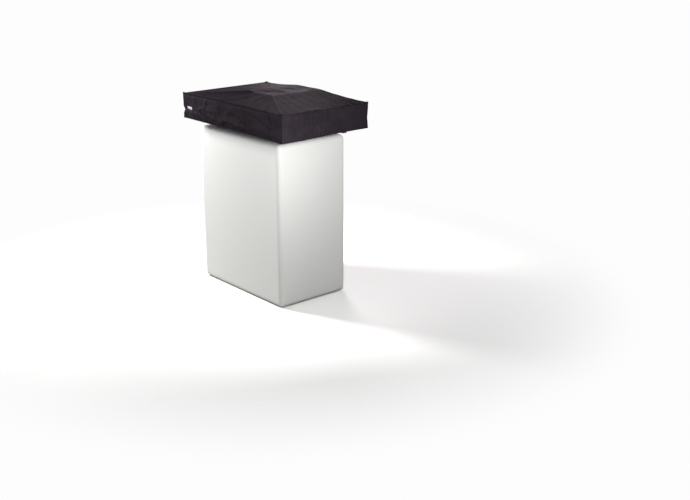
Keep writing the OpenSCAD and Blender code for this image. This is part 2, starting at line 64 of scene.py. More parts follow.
ladderSections = range(1, 8)
print("frame loaded,", len(frame["nodes"]), "nodes")


def linear(hexValue):
    parts = [int(hexValue[i:i + 2], 16) / 255 for i in (1, 3, 5)]
    return [c / 12.92 if c <= 0.04045 else ((c + 0.055) / 1.055) ** 2.4 for c in parts] + [1.0]


def addNode(tree, kind, settings=None, inputs=None):
    node = tree.nodes.new(kind)
    for key, value in (settings or {}).items():
        setattr(node, key, value)
    for key, value in (inputs or {}).items():
        if isinstance(value, bpy.types.NodeSocket):
            tree.links.new(value, node.inputs[key])
        else:
            node.inputs[key].default_value = value
    return node


def perMetre(millimetres):
    return 1000 / millimetres


def bandScale(millimetres):  # a wave texture of scale 1 has bands 0.314 apart
    return 0.31416 * perMetre(millimetres)


def newMaterial(name, roughness, metallic=0.0, **sockets):
    material = bpy.data.materials.new(name)
    material.use_nodes = True
    shader = material.node_tree.nodes["Principled BSDF"]
    for key, value in {"Roughness": roughness, "Metallic": metallic, **sockets}.items():
        shader.inputs[key].default_value = value
    return material, material.node_tree, shader


# Colour from a fine and a slow pattern added up, spread from a dark tone to a light one
def tint(tree, shader, fine, share, slow, limits, tones):
    tone = addNode(tree, "ShaderNodeMath", {"operation": "MULTIPLY_ADD"},
                   {0: fine.outputs["Fac"], 1: share, 2: slow.outputs["Fac"]})
    spread = addNode(tree, "ShaderNodeMapRange", None,
                     {"Value": tone.outputs[0], "From Min": limits[0], "From Max": limits[1]})
    colour = addNode(tree, "ShaderNodeMix", {"data_type": "RGBA"},
                     {0: spread.outputs[0], 6: linear(tones[0]), 7: linear(tones[1])})
    tree.links.new(colour.outputs[2], shader.inputs["Base Color"])
    return tone


clothLook = dict(patchMm=260, fleckMm=9, fleckShare=0.35, limits=(0.42, 0.95), wander=0.4,
                 creaseStrength=0.6, threadStrength=0.5)
hardLook = dict(patchMm=120, grainShare=0.5, limits=(0.5, 1.0), bumpStrength=0.4,
                roughLimits=(0.4, 1.1), smoother=0.07, rougher=0.09)


# Woven cloth: threads and small creases in the bump, and patches where dye and dust differ
def clothMaterial(name, dark, light, threadMm, creaseMm, creaseDepth, roughness, coords="UV", **sockets):
    material, tree, shader = newMaterial(name, roughness, **sockets)
    place = addNode(tree, "ShaderNodeTexCoord").outputs[coords]
    warp, weft = [addNode(tree, "ShaderNodeTexWave", {"bands_direction": way},
                          {"Vector": place, "Scale": bandScale(threadMm), "Distortion": clothLook["wander"],
                           "Detail Scale": 3.0}) for way in "XY"]
    weave = addNode(tree, "ShaderNodeMath", {"operation": "MULTIPLY"},
                    {0: warp.outputs["Fac"], 1: weft.outputs["Fac"]})
    crease = addNode(tree, "ShaderNodeTexNoise", {"noise_type": "RIDGED_MULTIFRACTAL", "normalize": True},
                     {"Vector": place, "Scale": perMetre(creaseMm), "Detail": 3.0, "Roughness": 0.5})
    patch = addNode(tree, "ShaderNodeTexNoise", None,
                    {"Vector": place, "Scale": perMetre(clothLook["patchMm"]),
                     "Detail": 4.0, "Roughness": 0.6})
    fleck = addNode(tree, "ShaderNodeTexNoise", None,
                    {"Vector": place, "Scale": perMetre(clothLook["fleckMm"]),
                     "Detail": 2.0, "Roughness": 0.7})
    tint(tree, shader, fleck, clothLook["fleckShare"], patch, clothLook["limits"], (dark, light))
    rumple = addNode(tree, "ShaderNodeBump", None,
                     {"Height": crease.outputs["Fac"], "Strength": clothLook["creaseStrength"],
                      "Distance": creaseDepth})
    threads = addNode(tree, "ShaderNodeBump", None,
                      {"Height": weave.outputs[0], "Strength": clothLook["threadStrength"],
                       "Distance": threadMm / 4000, "Normal": rumple.outputs[0]})
    tree.links.new(threads.outputs[0], shader.inputs["Normal"])
    return material


# Hard finishes: grain, brushing or grit in the bump and roughness, with wear in slow patches
def hardMaterial(name, dark, light, grainMm, grainDepth, roughness, metallic=0.0, stretch=(1, 1, 1)):
    material, tree, shader = newMaterial(name, roughness, metallic)
    place = addNode(tree, "ShaderNodeTexCoord").outputs["Object"]
    drawn = addNode(tree, "ShaderNodeMapping", None, {"Vector": place, "Scale": stretch})
    grain = addNode(tree, "ShaderNodeTexNoise", None,
                    {"Vector": drawn.outputs[0], "Scale": perMetre(grainMm), "Detail": 3.0, "Roughness": 0.6})
    patch = addNode(tree, "ShaderNodeTexNoise", None,
                    {"Vector": place, "Scale": perMetre(hardLook["patchMm"]),
                     "Detail": 5.0, "Roughness": 0.65})
    tone = tint(tree, shader, grain, hardLook["grainShare"], patch, hardLook["limits"], (dark, light))
    low, high = hardLook["roughLimits"]
    rough = addNode(tree, "ShaderNodeMapRange", None,
                    {"Value": tone.outputs[0], "From Min": low, "From Max": high,
                     "To Min": roughness - hardLook["smoother"], "To Max": roughness + hardLook["rougher"]})
    bump = addNode(tree, "ShaderNodeBump", None, {"Height": grain.outputs["Fac"], "Distance": grainDepth,
                                                  "Strength": hardLook["bumpStrength"]})
    tree.links.new(rough.outputs[0], shader.inputs["Roughness"])
    tree.links.new(bump.outputs[0], shader.inputs["Normal"])
    return material


finishes = {
    # Polyester with a matt coating: nearly black with a plum cast, a soft bloom at grazing angles.
    # The real threads are 0.5 mm apart; they are drawn at 2.6 mm so that they show.
    "coated_cover_cloth": clothMaterial("coatedPolyester", "#171417", "#221e22", 2.6, 70, 0.0018, 0.6,
                                        **{"Specular IOR Level": 0.0007}),
    # Nylon binding and thread: black, flatter than the cloth
    "black_webbing": clothMaterial("nylonBinding", "#0f0d0f", "#191619", 2.0, 30, 0.0004, 0.85, "Object",
                                   **{"Specular IOR Level": 0.004}),
    # Woven satin label, blank: paler than all that is round it, with a fine rib
    "white_woven_label": clothMaterial("wovenLabel", "#525054", "#626064", 1.6, 40, 0.0004, 0.6),
    # Laminate on plywood: pale grey with a fine pressed grit
    "grey_laminate_board": hardMaterial("pressedLaminate", "#8f9194", "#b0b2b4", 1.8, 0.0002, 0.5),
    # Anodised extrusion: dark grey with faint draw lines along its length
    "black_anodised_aluminium": hardMaterial("anodisedExtrusion", "#2a2b2f", "#3b3d42", 1.2, 0.0001, 0.42,
                                             0.85, (0.05, 1, 1)),
    # Moulded polypropylene: black with a spark-eroded grit
    "black_plastic": hardMaterial("mouldedPolypropylene", "#151516", "#232325", 1.1, 0.0002, 0.55),
    # Mattress cover in brushed polyester: mid grey, soft nap
    "grey_mattress_cloth": clothMaterial("brushedPolyester", "#6d7078", "#888b92", 2.8, 90, 0.003, 0.95,
                                         "Object", **{"Specular IOR Level": 0.1, "Sheen Weight": 0.3,
                                                      "Sheen Roughness": 0.6}),
    # Powder-coated steel: black, orange-peel surface
    "black_coated_steel": hardMaterial("powderCoatedSteel", "#1b1c1e", "#2a2b2d", 2.2, 0.0003, 0.45),
    # Zinc plate: bright grey with cloudy spangle
    "zinc_plated_steel": hardMaterial("zincPlate", "#9a9b98", "#c4c5c2", 4.0, 0.0001, 0.34, 1.0),
    # Mill-finish tube: light grey, drawn along the tube
    "bare_aluminium_tube": hardMaterial("drawnAluminium", "#a9abad", "#c9cbcc", 1.6, 0.0001, 0.36, 1.0,
                                        (1, 0.04, 1)),
    # Poly-cotton canvas: olive grey, visible plain weave
    "olive_canopy_cloth": clothMaterial("polyCottonCanvas", "#454a3b", "#5c604e", 3.2, 120, 0.004, 0.9, "UV",
                                        **{"Specular IOR Level": 0.1, "Sheen Weight": 0.15,
                                           "Sheen Roughness": 0.6}),
    # Brushed tube: pale, scratched round the bend
    "brushed_aluminium": hardMaterial("brushedAluminium", "#b4b6b9", "#d2d4d6", 1.0, 0.0001, 0.3, 1.0,
                                      (0.06, 1, 1)),
    # Natural rubber compound: dull black with dust in the pores
    "black_rubber": hardMaterial("mouldedRubber", "#121212", "#242321", 0.9, 0.0003, 0.8),
    # Glass-filled nylon: brick red, slightly chalky
    "red_plastic": hardMaterial("glassFilledNylon", "#8f3320", "#b0452c", 1.2, 0.0002, 0.5),
}
# Polyester mesh in the windows: charcoal with open squares
windowMesh = clothMaterial("polyesterMesh", "#17191a", "#242627", 5.0, 200, 0.001, 0.8,
                           **{"Specular IOR Level": 0.1})

nodeFinish = {
    "black_anodised_aluminium": ["lower_frame", "upper_frame", "rail_right", "rail_left", "keder_track"],
    "grey_laminate_board": ["lower_board", "upper_board"],
    "black_plastic": ["lower_corner_caps", "upper_corner_caps",
                      *(f"ladder_collars_{k}" for k in ladderSections)],
    "black_coated_steel": ["lower_hinge_brackets", "upper_hinge_brackets", "ladder_brackets",
                           "front_clamp_jaws", "rear_clamp_jaws"],
    "zinc_plated_steel": ["rail_bolts", "lower_bracket_screws", "upper_bracket_screws", "hinge_pins",
                          "ladder_pivot_pins", "front_clamp_bolts", "front_clamp_nuts", "rear_clamp_bolts",
                          "rear_clamp_nuts"],
    "brushed_aluminium": ["lower_hoop", "middle_hoop", "upper_hoop"],
    "bare_aluminium_tube": [f"ladder_section_{k}" for k in ladderSections],
    "black_rubber": ["ladder_rest_pads", "ladder_feet", "front_clamp_pads", "rear_clamp_pads"],
    "red_plastic": ["release_button_rear", "release_button_front"],
    "black_webbing": ["keder_cord"],
}
for slotName, names in nodeFinish.items():
    for nodeName in names:
        mesh = frame["nodes"][nodeName].data
        mesh.materials.clear()
        mesh.materials.append(finishes[slotName])
print("finishes set")


def addPiece(name, mesh):
    piece = bpy.data.objects.new(name, mesh)
    scene.collection.objects.link(piece)
    return piece


def newPiece(name, points, faces, slotName, uvs=None, material=None):
    mesh = bpy.data.meshes.new(name)
    mesh.from_pydata(np.asarray(points, float).tolist(), [], [list(f) for f in faces])
    if uvs is not None:
        mesh.uv_layers.new(name="cloth").data.foreach_set("uv", np.asarray(uvs, np.float32).ravel())
    mesh.materials.append(material or finishes[slotName])
    mesh.update()
    mesh.shade_smooth()
    return addPiece(name, mesh)


def pointValues(piece, key="co"):
    flat = np.zeros(len(piece.data.vertices) * 3, np.float32)
    piece.data.vertices.foreach_get(key, flat)
    return flat.reshape(-1, 3).astype(float)


def evaluated(piece):
    return bpy.data.meshes.new_from_object(piece.evaluated_get(bpy.context.evaluated_depsgraph_get()))


def thicken(piece, thickness, offset=-1):
    solid = piece.modifiers.new("cloth", "SOLIDIFY")
    solid.thickness = thickness
    solid.offset = offset
    thin, piece.data = piece.data, evaluated(piece)
    piece.modifiers.clear()
    bpy.data.meshes.remove(thin)


# Geometry Nodes: a tree with named inputs, and the plain mesh that it gives on lines or points
def newTree(name, **sockets):
    tree = bpy.data.node_groups.new(name, "GeometryNodeTree")
    tree.interface.new_socket("Geometry", in_out="INPUT", socket_type="NodeSocketGeometry")
    for label, kind in {**sockets, "Finish": "Material"}.items():
        tree.interface.new_socket(label, in_out="INPUT", socket_type="NodeSocket" + kind)
    tree.interface.new_socket("Geometry", in_out="OUTPUT", socket_type="NodeSocketGeometry")
    return tree, addNode(tree, "NodeGroupInput").outputs


def endTree(tree, entry, made):
    real = addNode(tree, "GeometryNodeRealizeInstances", None, {"Geometry": made.outputs[0]})
    smooth = addNode(tree, "GeometryNodeSetShadeSmooth", None, {"Geometry": real.outputs[0]})
    painted = addNode(tree, "GeometryNodeSetMaterial", None,
                      {"Geometry": smooth.outputs[0], "Material": entry["Finish"]})
    addNode(tree, "NodeGroupOutput", None, {0: painted.outputs[0]})


def evenPath(tree, entry):
    path = addNode(tree, "GeometryNodeMeshToCurve", None, {"Mesh": entry["Geometry"]})
    return addNode(tree, "GeometryNodeResampleCurve", {"mode": "LENGTH"},
                   {"Curve": path.outputs[0], "Length": entry["Spacing"]}).outputs[0]


def turnedTo(tree, along):  # Z to where the point faces, X to the way along
    facing = addNode(tree, "GeometryNodeInputNamedAttribute", {"data_type": "FLOAT_VECTOR"},
                     {"Name": "facing"})
    return addNode(tree, "FunctionNodeAxesToRotation", {"primary_axis": "Z", "secondary_axis": "X"},
                   {0: facing.outputs[0], 1: along.outputs[0]}).outputs[0]


stitchTree, entry = newTree("sewnStitches", Spacing="Float", Size="Vector")
tangent = addNode(stitchTree, "GeometryNodeInputTangent")
bead = addNode(stitchTree, "GeometryNodeMeshIcoSphere", None, {"Radius": 0.5, "Subdivisions": 1})
sewn = addNode(stitchTree, "GeometryNodeInstanceOnPoints", None,
               {"Points": evenPath(stitchTree, entry), "Instance": bead.outputs[0],
                "Rotation": turnedTo(stitchTree, tangent), "Scale": entry["Size"]})
endTree(stitchTree, entry, sewn)

pipingTree, entry = newTree("pipedSeam", Spacing="Float", Radius="Float")
cordRing = addNode(pipingTree, "GeometryNodeCurvePrimitiveCircle", None,
                   {"Resolution": 8, "Radius": entry["Radius"]})
swept = addNode(pipingTree, "GeometryNodeCurveToMesh", None,
                {"Curve": evenPath(pipingTree, entry), "Profile Curve": cordRing.outputs[0],
                 "Fill Caps": True})
endTree(pipingTree, entry, swept)

settingTree, entry = newTree("setOnPoints", Shape="Object")
along = addNode(settingTree, "GeometryNodeInputNamedAttribute", {"data_type": "FLOAT_VECTOR"},
                {"Name": "along"})
shape = addNode(settingTree, "GeometryNodeObjectInfo", None, {"Object": entry["Shape"]})
placed = addNode(settingTree, "GeometryNodeInstanceOnPoints", None,
                 {"Points": entry["Geometry"], "Instance": shape.outputs["Geometry"],
                  "Rotation": turnedTo(settingTree, along)})
endTree(settingTree, entry, placed)


def fromTree(name, tree, values, slotName, points, edges=(), **vectors):
    mesh = bpy.data.meshes.new("carrier")
    mesh.from_pydata(np.asarray(points, float).tolist(), edges, [])
    for label, rows in vectors.items():
        attribute = mesh.attributes.new(label, "FLOAT_VECTOR", "POINT")
        attribute.data.foreach_set("vector", np.asarray(rows, np.float32).ravel())
    carrier = bpy.data.objects.new("carrier", mesh)
    scene.collection.objects.link(carrier)
    modifier = carrier.modifiers.new("nodes", "NODES")
    modifier.node_group = tree
    values = {**values, "Finish": finishes[slotName]}
    for item in tree.interface.items_tree:
        if item.item_type == "SOCKET" and item.in_out == "INPUT" and item.name in values:
            modifier[item.identifier] = values[item.name]
    made = evaluated(carrier)
    bpy.data.objects.remove(carrier)
    made.name = name
    for label in vectors:
        if label in made.attributes:
            made.attributes.remove(made.attributes[label])
    return addPiece(name, made)


def chains(lines):  # points and edges of several open or closed lines: (points, closed)
    points, edges = [], []
    for line, closed in lines:
        first, count = len(points), len(line)
        edges += [(first + i, first + i + 1) for i in range(count - 1)]
        if closed:
            edges.append((first + count - 1, first))
        points += [tuple(p) for p in line]
    return points, edges


def piped(name, lines, radius, spacing, slotName="black_webbing"):
    return fromTree(name, pipingTree, {"Spacing": spacing, "Radius": radius}, slotName, *chains(lines))


def stitched(name, lines, facings, spacing, size):
    return fromTree(name, stitchTree, {"Spacing": spacing, "Size": size}, "black_webbing", *chains(lines),
                    facing=facings)


def gridFaces(rows, columns):
    return [(i * columns + j, (i + 1) * columns + j, (i + 1) * columns + j + 1, i * columns + j + 1)
            for i in range(rows - 1) for j in range(columns - 1)]


def gridBorder(grid):
    return np.concatenate([grid[0, :-1], grid[:-1, -1], grid[-1, :0:-1], grid[:0:-1, 0]])


def roundedRing(middle, half, radius, steps):  # a rectangle with round corners
    return [(middle[0] + sx * (half[0] - radius) + radius * math.cos(turn),
             middle[1] + sy * (half[1] - radius) + radius * math.sin(turn))
            for sx, sy, start in ((1, 1, 0), (-1, 1, 90), (-1, -1, 180), (1, -1, 270))
            for turn in np.radians(np.linspace(start, start + 90, steps))]


def smoothStep(t):
    t = np.clip(t, 0, 1)
    return t * t * (3 - 2 * t)


def hump(distance, width):
    return np.exp(-(distance / width) ** 2)


# Relief of folds in a flat wall: each is (a0, b0, a1, b1, height, width to its right, width to its left).
# Folds that meet run into each other instead of adding up.
def foldRelief(a, b, folds):
    total = np.zeros_like(a)
    for a0, b0, a1, b1, height, right, left in folds:
        da, db = a1 - a0, b1 - b0
        length = math.hypot(da, db)
        along = ((a - a0) * da + (b - b0) * db) / length
        off = ((a - a0) * db - (b - b0) * da) / length
        fade = 0.35 * min(length, 0.2)  # past its ends
        past = np.maximum(np.maximum(-along, along - length), 0) / fade
        # a crest with an edge: it falls away round to its right and straight to its left
        away = np.where(off > 0, (off / right) ** 2, -off / left)
        total += (height * np.exp(-away - past ** 2)) ** 4
    return total ** 0.25


# Soft waves in many directions: drawn once, then read at any place
def drawWaves(shortest, longest, count=26):
    return [(rng.uniform(shortest, longest), rng.uniform(0, math.pi), rng.uniform(0, 6.28))
            for _ in range(count)]  # length, turn, phase


def waveRelief(a, b, waves, height):
    total = sum(np.sin(6.2832 * (a * math.cos(turn) + b * math.sin(turn)) / size + phase)
                for size, turn, phase in waves)
    return total * height / math.sqrt(len(waves))


# Travel cover
coverLow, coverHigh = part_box("travel_cover")
cover = dict(
    step=0.0090,                            # spacing of the mesh
    rowStep=0.0068,                         # closer down the walls, where the folds are
    thickness=0.0016,
    edge=0.332,                             # height of the top seam
    bow=0.010,                              # the near top seam is drawn up by the crown
    crown=((-0.240, -0.1115), (0.120, 0.5075)),
    crownSag=0.007,
    crownGap=0.0005,                        # below the top of its box
    hips=(38, 1.035),                       # sharpness, and the gain that makes up for their rounding
    # dips of the crown between the ladder's stiles, deepest where no rung is under it:
    # depth, place across, half length, half width
    dips=((0.010, 0.045, 0.092, 0.085), (0.007, 0.275, 0.10, 0.055), (0.005, 0.42, 0.10, 0.055)),
    dipX=-0.06,
    topWave=0.0005,
    wave=0.0014,
    waveSquash=1.4,                         # waves of the walls are shorter upwards than along
    hemSeam=0.122,                          # height of the seam of the hem channel
    hemDrop=(0.010, 0.42),                  # lower hem at the near front corner: drop, reach
    drawIn=0.009,                           # walls draw in between the corners
    foldGain=(1.18, 1.35, 1.5, 1.5),
    pleatGain=1.5,
    hollow=(0.008, -0.745, 0.040, 0.31, 0.10),  # below the label: depth, place, width, top, fade
    belly=(0.014, -0.33, 0.17, 0.21),       # near half of the front end: height, place, width, fade
    pinch=(0.0035, 0.011, 0.007),           # under the top seam: depth, distance, width
    turnIn=(0.006, 0.120, 0.04),            # under the hem: depth, top, fade
    moreTurnIn=(0.0035, 0.06, 0.04),        # on the near and front walls, clear of their ends
    pucker=(0.0028, 0.021, 0.020, 0.006),   # at the upright seams: height, spacing, reach, width of the seam
    hemGroove=(0.0030, 0.0045, 0.03),       # depth, width, distance from the ends
    gather=(0.0022, 0.031, 0.04),           # on the hem's cord: height, spacing, distance from the ends
    gatherFade=(0.012, 0.7, 0.004, 0.022),  # fade below the seam, share above it, start and fade above it
    deepest=0.0105,                         # the base is just inside
    trackRoom=(0.0075, 0.112, 0.016),       # on the far side, outside the track: less depth, top, fade
    cornerTucks=((0.014, 0.165, 0.022), (0.004, 0.20, 0.05), (0.008, 0.19, 0.06), (0.006, 0.15, 0.04)),
    tuckReach=0.055,
    crinkle=(0.0012, 0.02),                 # down the corners: depth, reach
    dogEar=(0.009, 0.003, 0.016, 0.03),     # the sewn top corners stand up: rise, outward, reach, depth
)
# Folds of each wall as (along, up, along, up, height, width below, width above): near, front, far and rear
wallFolds = [
    [(-0.468, 0.205, -0.413, 0.318, 0.0115, 0.05, 0.022), (-0.625, 0.285, -0.545, 0.2, 0.0155, 0.022, 0.054),
     (-0.545, 0.2, -0.48, 0.213, 0.0165, 0.021, 0.054), (-0.48, 0.213, -0.425, 0.24, 0.012, 0.019, 0.036),
     (-0.425, 0.212, -0.24, 0.218, 0.0135, 0.026, 0.072), (-0.475, 0.19, -0.31, 0.148, 0.015, 0.021, 0.026),
     (-0.48, 0.19, -0.565, 0.128, 0.006, 0.028, 0.018), (-0.47, 0.175, -0.452, 0.1, 0.005, 0.018, 0.018),
     (-0.215, 0.22, -0.158, 0.14, 0.0105, 0.02, 0.016), (-0.155, 0.137, -0.07, 0.158, 0.012, 0.023, 0.042),
     (-0.07, 0.158, 0.02, 0.152, 0.012, 0.025, 0.048), (0.02, 0.152, 0.12, 0.137, 0.012, 0.025, 0.048),
     (0.12, 0.137, 0.31, 0.128, 0.0105, 0.023, 0.048), (-0.035, 0.244, 0.06, 0.262, 0.0105, 0.025, 0.054),
     (0.06, 0.262, 0.29, 0.172, 0.015, 0.026, 0.054), (0.37, 0.306, 0.5, 0.268, 0.0135, 0.026, 0.042),
     (0.5, 0.268, 0.665, 0.206, 0.015, 0.026, 0.054), (0.215, 0.3, 0.255, 0.245, 0.005, 0.014, 0.016),
     (0.69, 0.14, 0.778, 0.212, 0.009, 0.02, 0.048), (-0.785, 0.255, -0.64, 0.205, 0.006, 0.02, 0.048),
     (-0.79, 0.158, -0.6, 0.15, 0.0105, 0.026, 0.048), (-0.33, 0.315, -0.29, 0.24, 0.006, 0.02, 0.022),
     (0.33, 0.165, 0.56, 0.15, 0.0075, 0.023, 0.048)],
    [(-0.31, 0.122, -0.23, 0.15, 0.0135, 0.017, 0.072), (-0.23, 0.15, -0.165, 0.195, 0.0165, 0.019, 0.084),
     (-0.165, 0.195, -0.13, 0.245, 0.0165, 0.019, 0.084), (-0.13, 0.245, -0.09, 0.29, 0.012, 0.019, 0.072),
     (-0.265, 0.165, -0.2, 0.235, 0.009, 0.017, 0.034),
     (-0.515, 0.13, -0.47, 0.195, 0.009, 0.02, 0.036), (0.06, 0.15, 0.13, 0.24, 0.0045, 0.023, 0.048),
     (0.215, 0.23, 0.25, 0.275, 0.006, 0.017, 0.019), (0.33, 0.246, 0.46, 0.244, 0.006, 0.02, 0.029),
     (0.18, 0.16, 0.4, 0.176, 0.0045, 0.023, 0.036), (-0.08, 0.165, 0.03, 0.18, 0.006, 0.02, 0.036)],
    [(-0.7, 0.3, -0.52, 0.17, 0.012, 0.023, 0.048), (-0.42, 0.31, -0.3, 0.15, 0.009, 0.02, 0.036),
     (-0.16, 0.16, 0.05, 0.28, 0.0105, 0.022, 0.048), (0.12, 0.31, 0.22, 0.14, 0.009, 0.019, 0.03),
     (0.36, 0.15, 0.58, 0.27, 0.012, 0.023, 0.054), (0.66, 0.31, 0.74, 0.16, 0.009, 0.017, 0.019),
     (-0.05, 0.31, 0.06, 0.2, 0.0075, 0.017, 0.019), (0.45, 0.32, 0.4, 0.24, 0.0063, 0.011, 0.014),
     (-0.62, 0.14, -0.35, 0.17, 0.009, 0.023, 0.042), (-0.24, 0.25, -0.1, 0.22, 0.009, 0.023, 0.054),
     (0.24, 0.2, 0.4, 0.23, 0.0075, 0.02, 0.036), (-0.78, 0.31, -0.72, 0.24, 0.0063, 0.011, 0.013)],
    [(-0.46, 0.31, -0.32, 0.15, 0.0105, 0.02, 0.036), (-0.24, 0.28, -0.08, 0.18, 0.012, 0.023, 0.054),
     (-0.14, 0.14, 0.06, 0.17, 0.0105, 0.022, 0.042), (0.1, 0.32, 0.15, 0.22, 0.0063, 0.011, 0.013),
     (0.22, 0.32, 0.25, 0.24, 0.0063, 0.01, 0.011), (0.34, 0.3, 0.46, 0.15, 0.0105, 0.02, 0.036),
     (0.06, 0.17, 0.28, 0.2, 0.009, 0.023, 0.048), (-0.1, 0.32, -0.06, 0.25, 0.005, 0.01, 0.011),
     (-0.5, 0.17, -0.36, 0.14, 0.0075, 0.02, 0.036)],
]
# Small pleats that lie on those folds: at the near front corner, and on the front end under its top seam
# and over its hem
wallPleats = {
    0: [(0.6, 0.322, 0.64, 0.25, 0.009, 0.014, 0.016), (0.655, 0.318, 0.712, 0.235, 0.0095, 0.015, 0.018),
        (0.712, 0.322, 0.765, 0.25, 0.009, 0.014, 0.016), (0.758, 0.322, 0.792, 0.262, 0.008, 0.012, 0.013)],
    1: [(-0.45, 0.262, -0.446, 0.326, 0.007, 0.012, 0.024),
        (-0.345, 0.258, -0.338, 0.326, 0.008, 0.012, 0.026),
        (-0.29, 0.236, -0.28, 0.326, 0.01, 0.012, 0.028),
        (-0.236, 0.244, -0.226, 0.326, 0.0095, 0.012, 0.026),
        (-0.186, 0.228, -0.172, 0.326, 0.0105, 0.013, 0.028),
        (-0.125, 0.258, -0.117, 0.326, 0.008, 0.012, 0.026),
        (-0.06, 0.238, -0.05, 0.326, 0.0095, 0.012, 0.028),
        (0.004, 0.252, 0.012, 0.326, 0.008, 0.012, 0.026),
        (0.085, 0.266, 0.09, 0.326, 0.006, 0.012, 0.024), (-0.305, 0.088, -0.298, 0.128, 0.008, 0.012, 0.02),
        (-0.255, 0.088, -0.244, 0.14, 0.0095, 0.012, 0.022),
        (-0.198, 0.088, -0.184, 0.152, 0.0105, 0.013, 0.024),
        (-0.14, 0.088, -0.13, 0.148, 0.0095, 0.012, 0.022),
        (-0.085, 0.088, -0.07, 0.152, 0.0095, 0.012, 0.024),
        (-0.025, 0.088, -0.018, 0.14, 0.0075, 0.012, 0.02)],
}
# Folds of the top: ridges from the crown to the corners, and a fan of streaks down to the seams
topFolds = [(-0.72, -0.5, -0.26, -0.13, 0.016, 0.05, 0.06), (0.8, -0.52, 0.13, -0.12, 0.0065, 0.022, 0.026),
            (0.13, -0.11, 0.79, -0.42, 0.0025, 0.022, 0.022), (0.13, -0.08, 0.79, -0.3, 0.0022, 0.022, 0.022),
            (0.12, 0.0, 0.79, -0.19, 0.002, 0.022, 0.022), (0.12, 0.1, 0.78, -0.07, 0.0018, 0.022, 0.022),
            (0.12, 0.2, 0.78, 0.05, 0.0018, 0.022, 0.022), (0.12, 0.3, 0.76, 0.17, 0.0017, 0.022, 0.022),
            (0.12, 0.4, 0.76, 0.31, 0.0017, 0.022, 0.022), (0.12, -0.11, 0.56, -0.5, 0.0045, 0.018, 0.016),
            (0.1, -0.11, 0.34, -0.5, 0.0042, 0.02, 0.018), (0.06, -0.11, 0.1, -0.48, 0.003, 0.022, 0.02),
            (-0.08, -0.11, -0.16, -0.46, 0.003, 0.022, 0.02), (-0.2, -0.12, -0.4, -0.48, 0.0036, 0.022, 0.02),
            (-0.24, 0.02, -0.78, -0.24, 0.0034, 0.018, 0.018),
            (-0.24, 0.16, -0.78, 0.02, 0.003, 0.018, 0.018),
            (-0.24, 0.34, -0.76, 0.26, 0.0018, 0.022, 0.022), (-0.24, 0.46, -0.7, 0.47, 0.0028, 0.016, 0.016)]
wallWaves = [drawWaves(0.05, 0.20) for _ in range(4)]


def coverTop(x, y):
    (cx0, cy0), (cx1, cy1) = cover["crown"]
    slopes = [(x - coverLow.x) / (cx0 - coverLow.x), (coverHigh.x - x) / (coverHigh.x - cx1),
              (y - coverLow.y) / (cy0 - coverLow.y), (coverHigh.y - y) / (coverHigh.y - cy1), np.ones_like(x)]
    sharpness, fullness = cover["hips"]
    lowest = -np.log(sum(np.exp(-sharpness * slope) for slope in slopes)) / sharpness
    rise = np.clip(fullness * lowest, 0, 1)
    height = coverHigh.z - cover["edge"] - cover["crownGap"]
    z = cover["edge"] + height * rise - 4 * cover["crownSag"] * rise * (1 - rise)
    between = np.clip((coverHigh.x - x) * (x - coverLow.x) * 4 / (coverHigh.x - coverLow.x) ** 2, 0, 1)
    z += cover["bow"] * between * np.clip((cy0 - y) / (cy0 - coverLow.y), 0, 1) ** 1.5
    for depth, dipY, halfLength, halfWidth in cover["dips"]:
        z -= depth * np.exp(-((x - cover["dipX"]) / halfLength) ** 4 - ((y - dipY) / halfWidth) ** 4)
    relief = foldRelief(x, y, topFolds) + waveRelief(x, y, drawWaves(0.16, 0.45), cover["topWave"])
    return z + smoothStep(rise * 9) * relief


